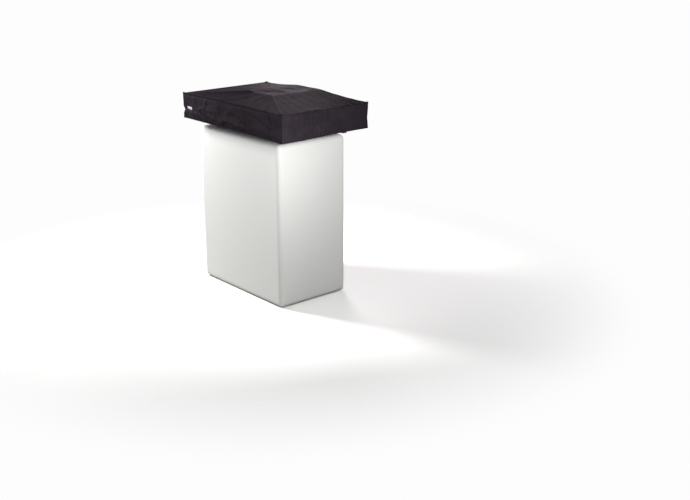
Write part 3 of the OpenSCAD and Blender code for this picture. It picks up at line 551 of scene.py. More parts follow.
# How far a wall stands out from the flat, at a place along it and a height
def coverWall(side, a, z):
    start, end = (coverLow.x, coverHigh.x) if side % 2 == 0 else (coverLow.y, coverHigh.y)
    t = (a - start) / (end - start)
    v = (z - coverLow.z) / (cover["edge"] - coverLow.z)
    fromEnd = np.minimum(a - start, end - a)
    aboveSeam = z - cover["hemSeam"]
    out = -cover["drawIn"] * np.clip(4 * t * (1 - t), 0, 1) ** 0.5 * np.sin(math.pi * np.clip(v, 0, 1))
    free = smoothStep(14 * t * (1 - t))  # the upright seams hold the cloth
    folds = cover["foldGain"][side] * foldRelief(a, z, wallFolds[side])
    waves = waveRelief(a, z * cover["waveSquash"], wallWaves[side], cover["wave"])
    out += free * smoothStep((1 - v) * 9) * smoothStep(v * 14) * (folds + waves)
    pleats = cover["pleatGain"] * foldRelief(a, z, wallPleats.get(side, []))
    out += free * smoothStep((1 - v) * 12) * pleats
    if side == 0:  # beside the rear corner
        depth, place, width, top, fade = cover["hollow"]
        out -= depth * hump(a - place, width) * smoothStep((top - z) / fade)
    if side == 1:
        height, place, width, fade = cover["belly"]
        out += height * hump(a - place, width) * smoothStep((cover["edge"] - z) / fade)
    depth, distance, width = cover["pinch"]
    out -= depth * hump(cover["edge"] - z - distance, width)
    depth, top, fade = cover["turnIn"]
    if side < 2:
        more, clear, endFade = cover["moreTurnIn"]
        depth = depth + more * smoothStep((fromEnd - clear) / endFade)
    out -= depth * smoothStep((top - z) / fade)
    height, spacing, reach, seamWidth = cover["pucker"]
    ripple = np.sin(z * 6.2832 / spacing + 3 * np.sin(z * 40))
    out += height * ripple * hump(fromEnd, reach) * smoothStep(fromEnd / seamWidth) * smoothStep((1 - v) * 6)
    # the hem channel: a sewn groove, with the cloth below it gathered on its cord
    depth, width, endFade = cover["hemGroove"]
    out -= depth * hump(aboveSeam, width) * smoothStep(fromEnd / endFade)
    height, spacing, endFade = cover["gather"]
    ripple = np.sin(a * 6.2832 / spacing + 2.2 * np.sin(a * 9 + side) + 1.3 * np.sin(a * 23 + 2 * side))
    fadeBelow, share, seamWidth, fadeAbove = cover["gatherFade"]
    above = smoothStep(aboveSeam / seamWidth) * np.exp(-aboveSeam / fadeAbove)
    gathered = smoothStep(-aboveSeam / fadeBelow) + share * above
    out += height * ripple * gathered * smoothStep(fromEnd / endFade)
    deepest = cover["deepest"]
    if side == 2:
        less, top, fade = cover["trackRoom"]
        deepest = deepest - less * smoothStep((top - z) / fade)
    return np.maximum(out, -deepest)


def makeCover():
    nx = round((coverHigh.x - coverLow.x) / cover["step"])
    ny = round((coverHigh.y - coverLow.y) / cover["step"])
    nz = round((cover["edge"] - coverLow.z) / cover["rowStep"])
    xs, ys = np.linspace(coverLow.x, coverHigh.x, nx + 1), np.linspace(coverLow.y, coverHigh.y, ny + 1)
    gx, gy = np.meshgrid(xs, ys, indexing="ij")
    top = np.stack([gx, gy, coverTop(gx, gy)], -1).reshape(-1, 3)
    # the seam ring: near side, front end, far side, rear end
    ring = gridBorder(np.arange(len(top)).reshape(nx + 1, ny + 1).T)
    count = len(ring)
    side = np.repeat([0, 1, 2, 3], [nx, ny, nx, ny])
    outward = np.array([(0, -1), (1, 0), (0, 1), (-1, 0)])[side]
    rim = top[ring]
    along = np.where(side % 2 == 0, rim[:, 0], rim[:, 1])
    cornerPlaces = (0, nx, nx + ny, 2 * nx + ny)
    # the hem hangs lowest at the near front corner
    fromNear = np.abs(coverHigh.x - rim[:, 0]) + np.abs(rim[:, 1] - coverLow.y)
    hem = coverLow.z - cover["hemDrop"][0] * hump(fromNear, cover["hemDrop"][1])
    walls = []
    for k in range(1, nz + 1):
        z = hem + (1 - k / nz) * (rim[:, 2] - hem)
        out = np.zeros(count)
        for s in range(4):
            out = np.where(side == s, coverWall(s, along, z), out)
        out[list(cornerPlaces)] = 0
        walls.append(np.column_stack([rim[:, :2] + out[:, None] * outward, z]))
    points = np.concatenate([top] + walls)
    # upright corners: tucked in here and there, with a sewn ear at the top
    corners = np.array([(coverLow.x, coverLow.y), (coverHigh.x, coverLow.y),
                        (coverHigh.x, coverHigh.y), (coverLow.x, coverHigh.y)])
    for c, corner in enumerate(corners):
        inward = -np.sign(corner) / math.sqrt(2)
        reach = np.hypot(points[:, 0] - corner[0], points[:, 1] - corner[1])
        z = points[:, 2]
        depth, height, width = cover["cornerTucks"][c]
        tuck = depth * hump(z - height, width) * hump(reach, cover["tuckReach"])
        depth, width = cover["crinkle"]
        tuck += depth * hump(reach, width) * (1 + np.sin(z * 61 + 2 * c) * np.sin(z * 27 + c))
        points[:, :2] += tuck[:, None] * inward
        up, out, width, depth = cover["dogEar"]
        ear = hump(reach, width) * smoothStep((z - cover["edge"] + depth) / depth)
        points[:, 2] += up * ear
        points[:, :2] -= out * ear[:, None] * inward
    faces = gridFaces(nx + 1, ny + 1)
    uvs = [points[q][:2] for f in faces for q in f]
    rows = [ring] + [len(top) + k * count + np.arange(count) for k in range(nz)]
    steps = np.repeat([xs[1] - xs[0], ys[1] - ys[0]] * 2, [nx, ny, nx, ny])
    run = np.concatenate([[0], np.cumsum(steps)])
    drop = np.linspace(coverLow.z, cover["edge"], nz + 1)[::-1] + 2  # the walls' cloth lies beside the top's
    for k in range(nz):
        for i in range(count):
            j = (i + 1) % count
            faces.append((rows[k][i], rows[k + 1][i], rows[k + 1][j], rows[k][j]))
            uvs += [(run[i], drop[k]), (run[i], drop[k + 1]),
                    (run[i + 1], drop[k + 1]), (run[i + 1], drop[k])]
    return newPiece("travelCover", points, faces, "coated_cover_cloth", uvs), rows, cornerPlaces


coverPiece, coverRows, coverCorners = makeCover()
print("cover laid out,", len(coverPiece.data.vertices), "points")

seams = dict(piping=0.0026, hemCord=0.0032, pathStep=0.012, stitch=(0.0042, 0.0013, 0.0009), spacing=0.0062,
             lift=0.0004)
coverPoints, coverNormals = pointValues(coverPiece), pointValues(coverPiece, "normal")
uprights = [(coverPoints[[row[c] for row in coverRows]], False) for c in coverCorners]
coverPiping = piped("coverPiping", [(coverPoints[coverRows[0]], True)] + uprights, seams["piping"],
                    seams["pathStep"])
coverHem = piped("coverHem", [(coverPoints[coverRows[-1]], True)], seams["hemCord"], seams["pathStep"],
                 "coated_cover_cloth")
seamRow = int(np.argmin([abs(coverPoints[row][:, 2].mean() - cover["hemSeam"]) for row in coverRows]))
sewnRows = [coverRows[k] for k in (1, seamRow, len(coverRows) - 2)]
sewnLines = [(coverPoints[row] + seams["lift"] * coverNormals[row], True) for row in sewnRows]
coverStitches = stitched("coverStitches", sewnLines, np.concatenate([coverNormals[row] for row in sewnRows]),
                         seams["spacing"], seams["stitch"])
thicken(coverPiece, cover["thickness"])
print("cover sewn")

# Blank label on the near side, a little slack between its stitched ends
label = dict(columns=28, rows=10, lift=0.0012, slack=0.0015, thickness=0.0008)
labelLow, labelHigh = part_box("cover_label")
gu, gv = np.meshgrid(np.linspace(0, 1, label["columns"] + 1), np.linspace(0, 1, label["rows"] + 1),
                     indexing="ij")
labelX = labelLow.x + gu * (labelHigh.x - labelLow.x)
labelZ = labelLow.z + gv * (labelHigh.z - labelLow.z)
labelY = np.full_like(labelX, coverLow.y)
wallPoints = coverPoints[np.concatenate(coverRows)]
wallPoints = wallPoints[wallPoints[:, 1] < coverLow.y / 2]
for i in np.ndindex(labelX.shape):  # it lies on the cover's folds
    apart = (wallPoints[:, 0] - labelX[i]) ** 2 + (wallPoints[:, 2] - labelZ[i]) ** 2
    nearest = np.argsort(apart)[:4]
    labelY[i] = np.average(wallPoints[nearest, 1], weights=1 / (apart[nearest] + 1e-6))
labelY -= label["lift"] + label["slack"] * np.sin(math.pi * gu) * np.sin(math.pi * gv)
labelPoints = np.stack([labelX, labelY, labelZ], -1).reshape(-1, 3)
faces = gridFaces(*labelX.shape)
uvs = [labelPoints[q][[0, 2]] for f in faces for q in f]
labelPiece = newPiece("coverLabel", labelPoints, faces, "white_woven_label", uvs)
thicken(labelPiece, label["thickness"])

for piece in (coverPiece, coverPiping, coverHem, coverStitches, labelPiece):
    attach(piece, "cover")
    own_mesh(piece)
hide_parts("travel_cover")
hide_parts("cover_label")
print("cover done")

# Mattress halves: foam slabs in a sewn cover, crowned, with the sides drawn in between the corners
mattress = dict(step=0.016, radius=0.016, crown=0.006, draw=0.006, belly=0.002, pucker=0.0016, wave=0.0011,
                sink=0.0012, leastSink=0.0002,  # of the sleeping face, below the top of its box
                piping=0.0026, pipingStep=0.02, seam=0.020, seamStep=0.03,
                slack=0.004, pressure=4, frames=20, cap=0.007)
slabLow, slabHigh = (np.array(v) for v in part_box("lower_mattress"))


def boxSkin(lines):  # the skin of a grid of boxes, as points and outward faces
    counts = [len(v) - 1 for v in lines]
    found, points, faces = {}, [], []

    def at(key):
        if key not in found:
            found[key] = len(points)
            points.append([lines[a][key[a]] for a in range(3)])
        return found[key]

    for axis in range(3):
        u, v = (axis + 1) % 3, (axis + 2) % 3
        for end in (0, counts[axis]):
            for i, j in np.ndindex(counts[u], counts[v]):
                quad = []
                for di, dj in ((0, 0), (1, 0), (1, 1), (0, 1)):
                    key = [0, 0, 0]
                    key[axis], key[u], key[v] = end, i + di, j + dj
                    quad.append(at(tuple(key)))
                faces.append(quad if end else quad[::-1])
    return np.array(points), faces


def evenLines(low, high, radius, step):
    inner = np.linspace(low + radius, high - radius, max(2, round((high - low) / step)) + 1)
    ends = radius * np.array([0, 0.33, 0.66])
    return np.concatenate([low + ends, inner, (high - ends)[::-1]])


def makeMattress():
    low, high, r = slabLow, slabHigh, mattress["radius"]
    points, faces = boxSkin([evenLines(low[a], high[a], r, mattress["step"]) for a in range(3)])
    core = np.clip(points, low + r, high - r)
    away = points - core
    length = np.linalg.norm(away, axis=1)[:, None]
    points = core + np.where(length > 1e-9, away / np.maximum(length, 1e-9) * r, 0)
    middle, half = (low + high) / 2, (high - low) / 2
    u, v = (points[:, 0] - middle[0]) / half[0], (points[:, 1] - middle[1]) / half[1]
    up = (points[:, 2] - low[2]) / (high[2] - low[2])
    # sides draw in between the corners, and pucker where the cover is sewn
    belly = np.sin(math.pi * np.clip(up, 0, 1))
    pucker = mattress["pucker"] * np.sin(points[:, 0] * 150 + 2 * np.sin(points[:, 0] * 17)) * (1 - belly)
    sideIn = mattress["draw"] * (1 - u ** 2) - mattress["belly"] * belly + pucker * (np.abs(v) > 0.9)
    endIn = mattress["draw"] * (1 - v ** 2) - mattress["belly"] * belly
    points[:, 1] -= np.sign(v) * sideIn * np.abs(v) ** 6
    points[:, 0] -= np.sign(u) * endIn * np.abs(u) ** 8
    crown = (1 - np.abs(u) ** 5) * (1 - np.abs(v) ** 5)
    waves = waveRelief(points[:, 0], points[:, 1], drawWaves(0.12, 0.5), mattress["wave"])
    sink = mattress["crown"] * (1 - crown) + waves + mattress["sink"]
    points[:, 2] -= smoothStep(up * 2 - 1) * np.clip(sink, mattress["leastSink"], None)
    return points, faces


# A short pressure run swells a slightly smaller slab against its seam and the board. The result is capped
# and kept inside the slab's box, and only its points are used.
def swellMattress(points, faces):
    mesh = bpy.data.meshes.new("swelling")
    mesh.from_pydata(points.tolist(), [], faces)
    mesh.update()
    normals = np.array([v.normal for v in mesh.vertices])
    onSeam = np.abs(points[:, 2] - (slabHigh[2] - mattress["seam"])) < 0.005
    held = (points[:, 2] < slabLow[2] + 0.004) | onSeam
    start = points - mattress["slack"] * normals * ~held[:, None]
    mesh.vertices.foreach_set("co", start.astype(np.float32).ravel())
    pad = bpy.data.objects.new("swelling", mesh)
    scene.collection.objects.link(pad)
    pad.vertex_groups.new(name="held").add(np.flatnonzero(held).tolist(), 1.0, "REPLACE")
    cloth = pad.modifiers.new("swell", "CLOTH")
    cloth.settings.vertex_group_mass = "held"
    cloth.settings.use_pressure = True
    cloth.settings.uniform_pressure_force = mattress["pressure"]
    cloth.settings.effector_weights.gravity = 0
    for step in range(1, mattress["frames"] + 1):
        scene.frame_set(step)
    swollen = evaluated(pad)
    moved = np.array([v.co for v in swollen.vertices]) - start
    moved *= np.minimum(1, mattress["cap"] / np.linalg.norm(moved, axis=1).clip(1e-9))[:, None]
    scene.frame_set(1)
    bpy.data.objects.remove(pad)
    for spare in (mesh, swollen):
        bpy.data.meshes.remove(spare)
    print("mattress swollen by up to", round(float(np.abs(moved).max()) * 1000, 1), "mm")
    return np.clip(start + moved, slabLow, slabHigh - (0, 0, mattress["leastSink"]))


# The line of the piped seam, which runs round the slab a little below its sleeping face
def mattressSeam(points):
    low, high = points.min(0), points.max(0)
    middle, half = (low + high) / 2, (high - low) / 2
    ring = np.array(roundedRing(middle, half, mattress["radius"], 7))
    steps = []
    for a, b in zip(ring, np.roll(ring, -1, axis=0)):
        count = max(2, int(np.hypot(*(b - a)) / mattress["seamStep"]))
        steps.append(np.linspace(a, b, count, endpoint=False))
    steps = np.concatenate(steps)
    u, v = ((steps - middle[:2]) / half[:2]).T
    steps[:, 1] -= np.sign(v) * mattress["draw"] * (1 - u ** 2) * (np.abs(v) > 0.95) * np.abs(v) ** 6
    steps[:, 0] -= np.sign(u) * mattress["draw"] * (1 - v ** 2) * (np.abs(u) > 0.95) * np.abs(u) ** 8
    return np.column_stack([steps, np.full(len(steps), high[2] - mattress["seam"])])


hingeJoint = next(j for j in frame["joints"] if j["name"] == "base_fold")
hingeY, hingeZ = hingeJoint["pos_m"][1:]
openTurn = math.radians(hingeJoint["range_deg"][1])
slabPoints, slabFaces = makeMattress()
slabPoints = swellMattress(slabPoints, slabFaces)
seamLine = mattressSeam(slabPoints)
for nodeName, body in (("lower_mattress", "base"), ("upper_mattress", "panel")):
    if body == "panel":  # the upper half lies face down on the lower one
        slabPoints, seamLine = ((0, 0, 2 * hingeZ) + v * (1, 1, -1) for v in (slabPoints, seamLine))
        slabFaces = [f[::-1] for f in slabFaces]
    half = newPiece(nodeName.split("_")[0] + "MattressHalf", slabPoints, slabFaces, "grey_mattress_cloth")
    piping = piped(half.name + "Piping", [(seamLine, True)], mattress["piping"], mattress["pipingStep"],
                   "grey_mattress_cloth")
    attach(half, body)
    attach(piping, body)
    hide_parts(nodeName)
print("mattress halves done")

# Canopy packed flat inside the hoops: one sheet folded in layers
packed = dict(layers=6, step=0.026, corner=0.112, wave=0.0022, thickness=0.001, turn=0.006,
              gap=(0.003, 0.004, 0.003))
packLow, packHigh = (np.array(v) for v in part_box("folded_canopy"))


def makePacked():
    (x0, y0, z0), (x1, y1, z1) = packLow + packed["gap"], packHigh - packed["gap"]
    depth = (z1 - z0) / packed["layers"]
    path = []
    for k in range(packed["layers"]):
        z = z0 + depth * (k + 0.5)
        side = 1 if k % 2 == 0 else -1
        run = np.linspace(0, 1, round((y1 - y0) / packed["step"]))[::side]
        path += [(t, z) for t in run]
        if k < packed["layers"] - 1:  # the fold to the next layer
            path += [(run[-1] + side * packed["turn"] * math.sin(a), z + depth * (1 - math.cos(a)) / 2)
                     for a in np.radians((45, 90, 135))]
    path = np.array(path)
    xs = np.linspace(x0, x1, round((packHigh[0] - packLow[0]) / packed["step"]))
    gx, gt = np.meshgrid(xs, path[:, 0], indexing="ij")
    gz = np.broadcast_to(path[:, 1], gx.shape).copy()
    over = np.clip(np.abs(gx) - (packHigh[0] - packed["corner"]), 0, packed["corner"])
    trim = packed["corner"] - np.sqrt(packed["corner"] ** 2 - over ** 2)
    gy = (y0 + trim) + gt * (y1 - y0 - 2 * trim)
    room = np.clip((packHigh[2] - gz) * (gz - packLow[2]) / 0.0006, 0, 1)
    gz += waveRelief(gx, gy, drawWaves(0.10, 0.35, 16), packed["wave"]) * room
    points = np.stack([gx, gy, gz], -1).reshape(-1, 3)
    faces = gridFaces(*gx.shape)
    lengths = np.hypot(np.diff(path[:, 0]) * (y1 - y0), np.diff(path[:, 1]))
    run = np.concatenate([[0], np.cumsum(lengths)])
    uvs = [(points[q][0], run[q % len(path)]) for f in faces for q in f]
    piece = newPiece("packedCanopy", points, faces, "olive_canopy_cloth", uvs)
    thicken(piece, packed["thickness"], 0)
    return piece


packedPiece = makePacked()
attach(packedPiece, "hoop_mid")
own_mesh(packedPiece)
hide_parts("folded_canopy")

# Canopy as it stands over the hoops. It is shaped open, and each point is then turned back about the hinge.
canopy = dict(halfWidth=0.798, hoopReach=0.9945, rim=(0.505, 0.107), hingeGap=0.045, tube=0.008,
              rimCorner=0.05, hoopCorner=0.14, rows=18,
              rowPoints=(20, 7, 30),  # up an end, round its bend, across
              sag=0.016, endSag=0.016, slack=0.0022, pleat=(0.006, 0.15), thickness=0.0014, blendHalf=0.038,
              pathStep=0.02, seamLift=0.0008, stitch=(0.007, 0.002, 0.0014), stitchSpacing=0.011,
              stitchGap=0.011, stitchLift=0.0009,
              stitchFrom=3)  # points of a row that are left bare at the hinge


def turnBack(points):
    dy, dz = points[:, 1] - hingeY, points[:, 2] - hingeZ
    reach = np.hypot(dy, dz)
    angle = np.arctan2(dz, dy)
    angle = np.where(angle < -math.pi / 2, angle + 2 * math.pi, angle)
    low, high = -reach * 0.99999, reach * 0.99999
    for _ in range(60):  # halve the range until the point's turn comes out
        h = (low + high) / 2
        share = smoothStep((h + canopy["blendHalf"]) / (2 * canopy["blendHalf"]))
        over = share * openTurn + np.arcsin(h / reach) > angle
        low, high = np.where(over, low, h), np.where(over, h, high)
    h = (low + high) / 2
    return np.column_stack([points[:, 0], hingeY + np.sqrt(reach ** 2 - h ** 2), hingeZ + h])


def spin(p, angle):
    c, s = math.cos(angle), math.sin(angle)
    return np.array([p[0] * c - p[1] * s, p[0] * s + p[1] * c])


rimOut = np.array([canopy["rim"][0] - hingeY, canopy["rim"][1] - hingeZ])
# the outer hoops rest a little below and above the hinge
hoopRise = [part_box("lower_hoop")[0].z + canopy["tube"] - hingeZ, 0,
            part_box("upper_hoop")[1].z - canopy["tube"] - hingeZ]
hoopTurns = [openTurn * share + math.atan2(rise, canopy["hoopReach"])
             for share, rise in zip((0.25, 0.5, 0.75), hoopRise)]


# Ends of the canopy's rays at the base's rim, the three hoops and the panel's rim
def rayKnots(rimPoint, reach):
    hoops = [reach * np.array([math.cos(a), math.sin(a)]) for a in hoopTurns]
    return [rimPoint] + hoops + [spin(rimPoint * (1, -1), openTurn)]


outerKnots = rayKnots(rimOut, canopy["hoopReach"])
innerKnots = rayKnots(np.array([canopy["hingeGap"], rimOut[1]]), canopy["hingeGap"])
slackWaves = drawWaves(0.25, 0.6, 14)


def rayAt(span):  # span runs from 0 at the base's rim to 4 at the panel's
    i = min(int(span), 3)
    t = span - i
    inner, outer = (knots[i] + t * (knots[i + 1] - knots[i]) for knots in (innerKnots, outerKnots))
    return t, inner, outer, outerKnots[i + 1] - outerKnots[i]


# How far an end wall draws in: hollow between the hoops, slack here and there, pleated where it gathers
# at the hinge
def endEase(span, reach, full):
    between = math.sin(math.pi * (span % 1))
    hollow = canopy["endSag"] * between * np.sin(np.pi * np.clip(reach / full, 0, 1))
    height, gathered = canopy["pleat"]
    pleats = height * math.sin(4 * math.pi * (span % 1)) ** 2 * hump(reach, gathered)
    return hollow + pleats + between * waveRelief(reach, 0.7 * span, slackWaves, canopy["slack"])


# A row of places on the open canopy, up the rear end, across and down the front end
def canopyRow(span):
    t, inner, outer, chord = rayAt(span)
    inwards = np.array([-chord[1], chord[0]]) / np.linalg.norm(chord)
    outer = outer + inwards * canopy["sag"] * math.sin(math.pi * t)
    rim, hoop, half = canopy["rimCorner"], canopy["hoopCorner"], canopy["halfWidth"]
    rounding = np.interp(span, [0, 1, 3, 4], [rim, hoop, hoop, rim])
    length = np.linalg.norm(outer - inner)
    ray = (outer - inner) / length
    upCount, bendCount, acrossCount = canopy["rowPoints"]
    reach = np.linspace(0, length - rounding, upCount, endpoint=False)
    up = list(zip(endEase(span, reach, length - rounding) - half, reach))
    up += [(-half + rounding - rounding * math.cos(a), length - rounding + rounding * math.sin(a))
           for a in np.linspace(0, math.pi / 2, bendCount, endpoint=False)]
    x = np.linspace(-half + rounding, half - rounding, acrossCount)
    slack = waveRelief(x + 3, 0.7 * span, slackWaves, canopy["slack"]) * math.sin(math.pi * t)
    across = list(zip(x, length + slack * np.sin(np.pi * np.linspace(0, 1, acrossCount))))
    down = [(-x, s) for x, s in up[::-1]]
    return np.array([(x, *(inner + s * ray + (hingeY, hingeZ))) for x, s in up + across + down])


# A closed cloth of some thickness from a grid of open places, turned back to where it lies folded
def clothFromGrid(name, grid, slotName, thickness, material=None, lift=0.0):
    rows, columns = grid.shape[:2]
    count = rows * columns
    normals = np.cross(np.gradient(grid, axis=0), np.gradient(grid, axis=1))
    normals /= np.linalg.norm(normals, axis=-1, keepdims=True)
    outside = (grid + lift * normals).reshape(-1, 3)
    inside = (grid + (lift - thickness) * normals).reshape(-1, 3)
    outer = [q[1:] + q[:1] for q in gridFaces(rows, columns)]
    border = gridBorder(np.arange(count).reshape(rows, columns)).tolist()
    faces = outer + [[p + count for p in q[::-1]] for q in outer] \
        + [(a, b, b + count, a + count) for a, b in zip(border, border[1:] + border[:1])]
    run = np.cumsum(np.linalg.norm(np.diff(grid, axis=1, prepend=grid[:, :1]), axis=-1), axis=1)
    rise = np.cumsum(np.linalg.norm(np.diff(grid, axis=0, prepend=grid[:1]), axis=-1), axis=0)
    flat = np.stack([run, rise.mean(1, keepdims=True) + 0 * rise], -1).reshape(-1, 2)
    uvs = [flat[q % count] for f in faces for q in f]
    piece = newPiece(name, turnBack(np.concatenate([outside, inside])), faces, slotName, uvs, material)
    canopyPieces.append(piece)
    return normals


canopyPieces = []
canopyGrid = np.array([canopyRow(s) for s in np.linspace(0, 4, 4 * canopy["rows"] + 1)])
canopyNormals = clothFromGrid("standingCanopy", canopyGrid, "olive_canopy_cloth", canopy["thickness"])

# Mesh windows in both ends and the far wall: first and last span, and shares of the ray
windows = dict(ends=((0.30, 0.86, 0.30, 0.80), (1.14, 1.86, 0.36, 0.80),
                     (2.14, 2.86, 0.36, 0.80), (3.14, 3.70, 0.30, 0.80)),
               grid=(15, 17), farWall=(0.28, 0.80, 20), farPoints=(31, 53), thickness=0.0008, gap=0.0022)
windowLines = []


def addWindow(name, grid):
    normals = clothFromGrid(name, grid, "black_webbing", windows["thickness"], windowMesh, windows["gap"])
    windowLines.append((gridBorder(grid + windows["gap"] * normals), True))


def endWindow(x, span0, span1, share0, share1):
    grid = []
    for span in np.linspace(span0, span1, windows["grid"][0]):
        _, inner, outer, _ = rayAt(span)
        length = np.linalg.norm(outer - inner)
        reach = np.linspace(share0, share1, windows["grid"][1]) * length
        inset = endEase(span, reach, length - canopy["hoopCorner"])
        grid.append([(x - math.copysign(d, x), *(inner + s / length * (outer - inner) + (hingeY, hingeZ)))
                     for d, s in zip(inset, reach)])
    return np.array(grid) if x < 0 else np.array(grid)[:, ::-1]


for end, x in (("Rear", -canopy["halfWidth"]), ("Front", canopy["halfWidth"])):
    for k, limits in enumerate(windows["ends"]):
        addWindow(f"window{end}{k + 1}", endWindow(x, *limits))
farGrid = np.array([canopyRow(s) for s in np.linspace(*windows["farWall"])])
addWindow("windowFarWall", farGrid[:, slice(*windows["farPoints"])])

# The door's zip over the ladder: an arch on two legs
door = dict(middle=-0.06, half=0.34, span=3.42, arch=0.24, legs=(3.95, 3.44, 16))


def acrossAt(span, x):
    first = sum(canopy["rowPoints"][:2])
    row = canopyRow(span)[first:first + canopy["rowPoints"][2]]
    return np.array([np.interp(x, row[:, 0], row[:, k]) for k in range(3)])


arch = [acrossAt(door["span"] - door["arch"] * math.sin(a), door["middle"] - door["half"] * math.cos(a))
        for a in np.linspace(0, math.pi, 25)]
legs = [[acrossAt(span, foot[0]) for span in np.linspace(*door["legs"])] for foot in (arch[0], arch[-1])]
doorLine = np.array(legs[0] + arch + legs[1][::-1])

# Seams over the hoops with a row of stitches on either side, and the rims
hoopRows = [k * canopy["rows"] for k in (1, 2, 3)]
hoopLines = [(canopyGrid[i] + canopy["seamLift"] * canopyNormals[i], False) for i in hoopRows]
rimLines = [(canopyGrid[k], False) for k in (0, -1)]
stitchLines, facings = [], []
sewnPart = slice(canopy["stitchFrom"], -canopy["stitchFrom"])
for i in hoopRows:
    for near in (i - 1, i + 1):
        aside = canopyGrid[near] - canopyGrid[i]
        share = canopy["stitchGap"] / np.linalg.norm(aside, axis=1).clip(canopy["stitchGap"])
        row = canopyGrid[i] + aside * share[:, None] + canopy["stitchLift"] * canopyNormals[near]
        stitchLines.append((row[sewnPart], False))
        facings += canopyNormals[near][sewnPart].tolist()
canopySeams = dict(canopyWindowPiping=(windowLines, 0.004), canopyDoorZip=([(doorLine, False)], 0.005),
                   canopyHoopSeams=(hoopLines, 0.0035), canopyRims=(rimLines, 0.005))
sewnPieces = [piped(name, lines, radius, canopy["pathStep"]) for name, (lines, radius) in canopySeams.items()]
sewnPieces.append(stitched("canopyStitches", stitchLines, facings, canopy["stitchSpacing"], canopy["stitch"]))
for piece in sewnPieces:
    piece.data.vertices.foreach_set("co", turnBack(pointValues(piece)).astype(np.float32).ravel())
    piece.data.update()
canopyPieces += sewnPieces
for piece in canopyPieces:
    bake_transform(piece)
print("canopy done")

# Fittings that repeat: grip ribs on the rungs, screws in the corner caps, plugs in the rail ends
fittings = dict(ribs=6, ribSize=(0.236, 0.0026, 0.0010), ribSpread=0.012, rungFace=0.018,
                screwSides=12, screwRadius=0.0046, screwRise=0.0022, capReach=0.030,
                plug=(0.040, 0.026, 0.003, 0.004))  # width, height, thickness, corner


def loftFaces(rings, sides):  # a solid through rings of points, closed at both ends
    last = (rings - 1) * sides
    faces = [(i + k, i + (k + 1) % sides, i + sides + (k + 1) % sides, i + sides + k)
             for i in range(0, last, sides) for k in range(sides)]
    return faces + [list(range(sides))[::-1], list(range(last, last + sides))]


def loosePiece(name, points, faces):
    mesh = bpy.data.meshes.new(name)
    mesh.from_pydata([tuple(p) for p in points], [], [list(f) for f in faces])
    return bpy.data.objects.new(name, mesh)


def setAt(name, shape, points, facings, alongs, slotName, body):
    piece = fromTree(name, settingTree, {"Shape": shape}, slotName, points, facing=facings, along=alongs)
    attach(piece, body)


length, width, rise = fittings["ribSize"]
profile = [(-width / 2, 0), (width / 2, 0), (width * 0.3, rise), (-width * 0.3, rise)]
ribShape = loosePiece("gripRib", [(x, y, z) for x in (-length / 2, length / 2) for y, z in profile],
                      loftFaces(2, 4))
for k in ladderSections:
    low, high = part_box(f"ladder_collars_{k}")
    middle = (low + high) / 2
    face = middle.y + fittings["rungFace"]  # the side of the rung that is trodden on
    heights = np.linspace(-fittings["ribSpread"], fittings["ribSpread"], fittings["ribs"]) + middle.z
    setAt(f"rungRibs{k}", ribShape, [(middle.x, face, z) for z in heights], [(0, 1, 0)] * fittings["ribs"],
          [(1, 0, 0)] * fittings["ribs"], "black_rubber", f"ladder_{k}")

# pan-head screws with a driver recess: shares of the radius and the rise
r, h, sides = fittings["screwRadius"], fittings["screwRise"], fittings["screwSides"]
profile = [(1, 0), (1, 0.45), (0.72, 0.9), (0.42, 1), (0.36, 0.35)]
turns = np.linspace(0, 2 * math.pi, sides, endpoint=False)
screwShape = loosePiece("panScrew", [(r * out * math.cos(a), r * out * math.sin(a), h * up)
                                     for out, up in profile for a in turns], loftFaces(len(profile), sides))
for nodeName, body in (("lower_corner_caps", "base"), ("upper_corner_caps", "panel")):
    low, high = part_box(nodeName)
    points, facings, alongs = [], [], []
    for x, ex in ((low.x, -1), (high.x, 1)):
        for y, ey in ((low.y, -1), (high.y, 1)):
            z = (low.z + high.z) / 2
            points += [(x, y - ey * fittings["capReach"], z), (x - ex * fittings["capReach"], y, z)]
            facings += [(ex, 0, 0), (0, ey, 0)]
            alongs += [(0, 1, 0), (1, 0, 0)]
    setAt(body + "CapScrews", screwShape, points, facings, alongs, "zinc_plated_steel", body)

# a plug is a plate with rounded corners and a chamfered rim
wide, tall, thick, corner = fittings["plug"]
plate = [(x, y, z) for inset, z in ((0, 0), (0, thick * 0.6), (thick * 0.4, thick))
         for x, y in roundedRing((0, 0), (wide / 2 - inset, tall / 2 - inset), corner - inset, 5)]
plugShape = loosePiece("railPlug", plate, loftFaces(3, len(plate) // 3))
points, facings = [], []
for nodeName in ("rail_right", "rail_left"):
    low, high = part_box(nodeName)
    for x, ex in ((low.x, -1), (high.x, 1)):
        points.append((x, (low.y + high.y) / 2, (low.z + high.z) / 2))
        facings.append((ex, 0, 0))
setAt("railPlugs", plugShape, points, facings, [(0, 1, 0)] * len(points), "black_plastic", "base")
for shape in (ribShape, screwShape, plugShape):
    bpy.data.objects.remove(shape)
print("fittings done")

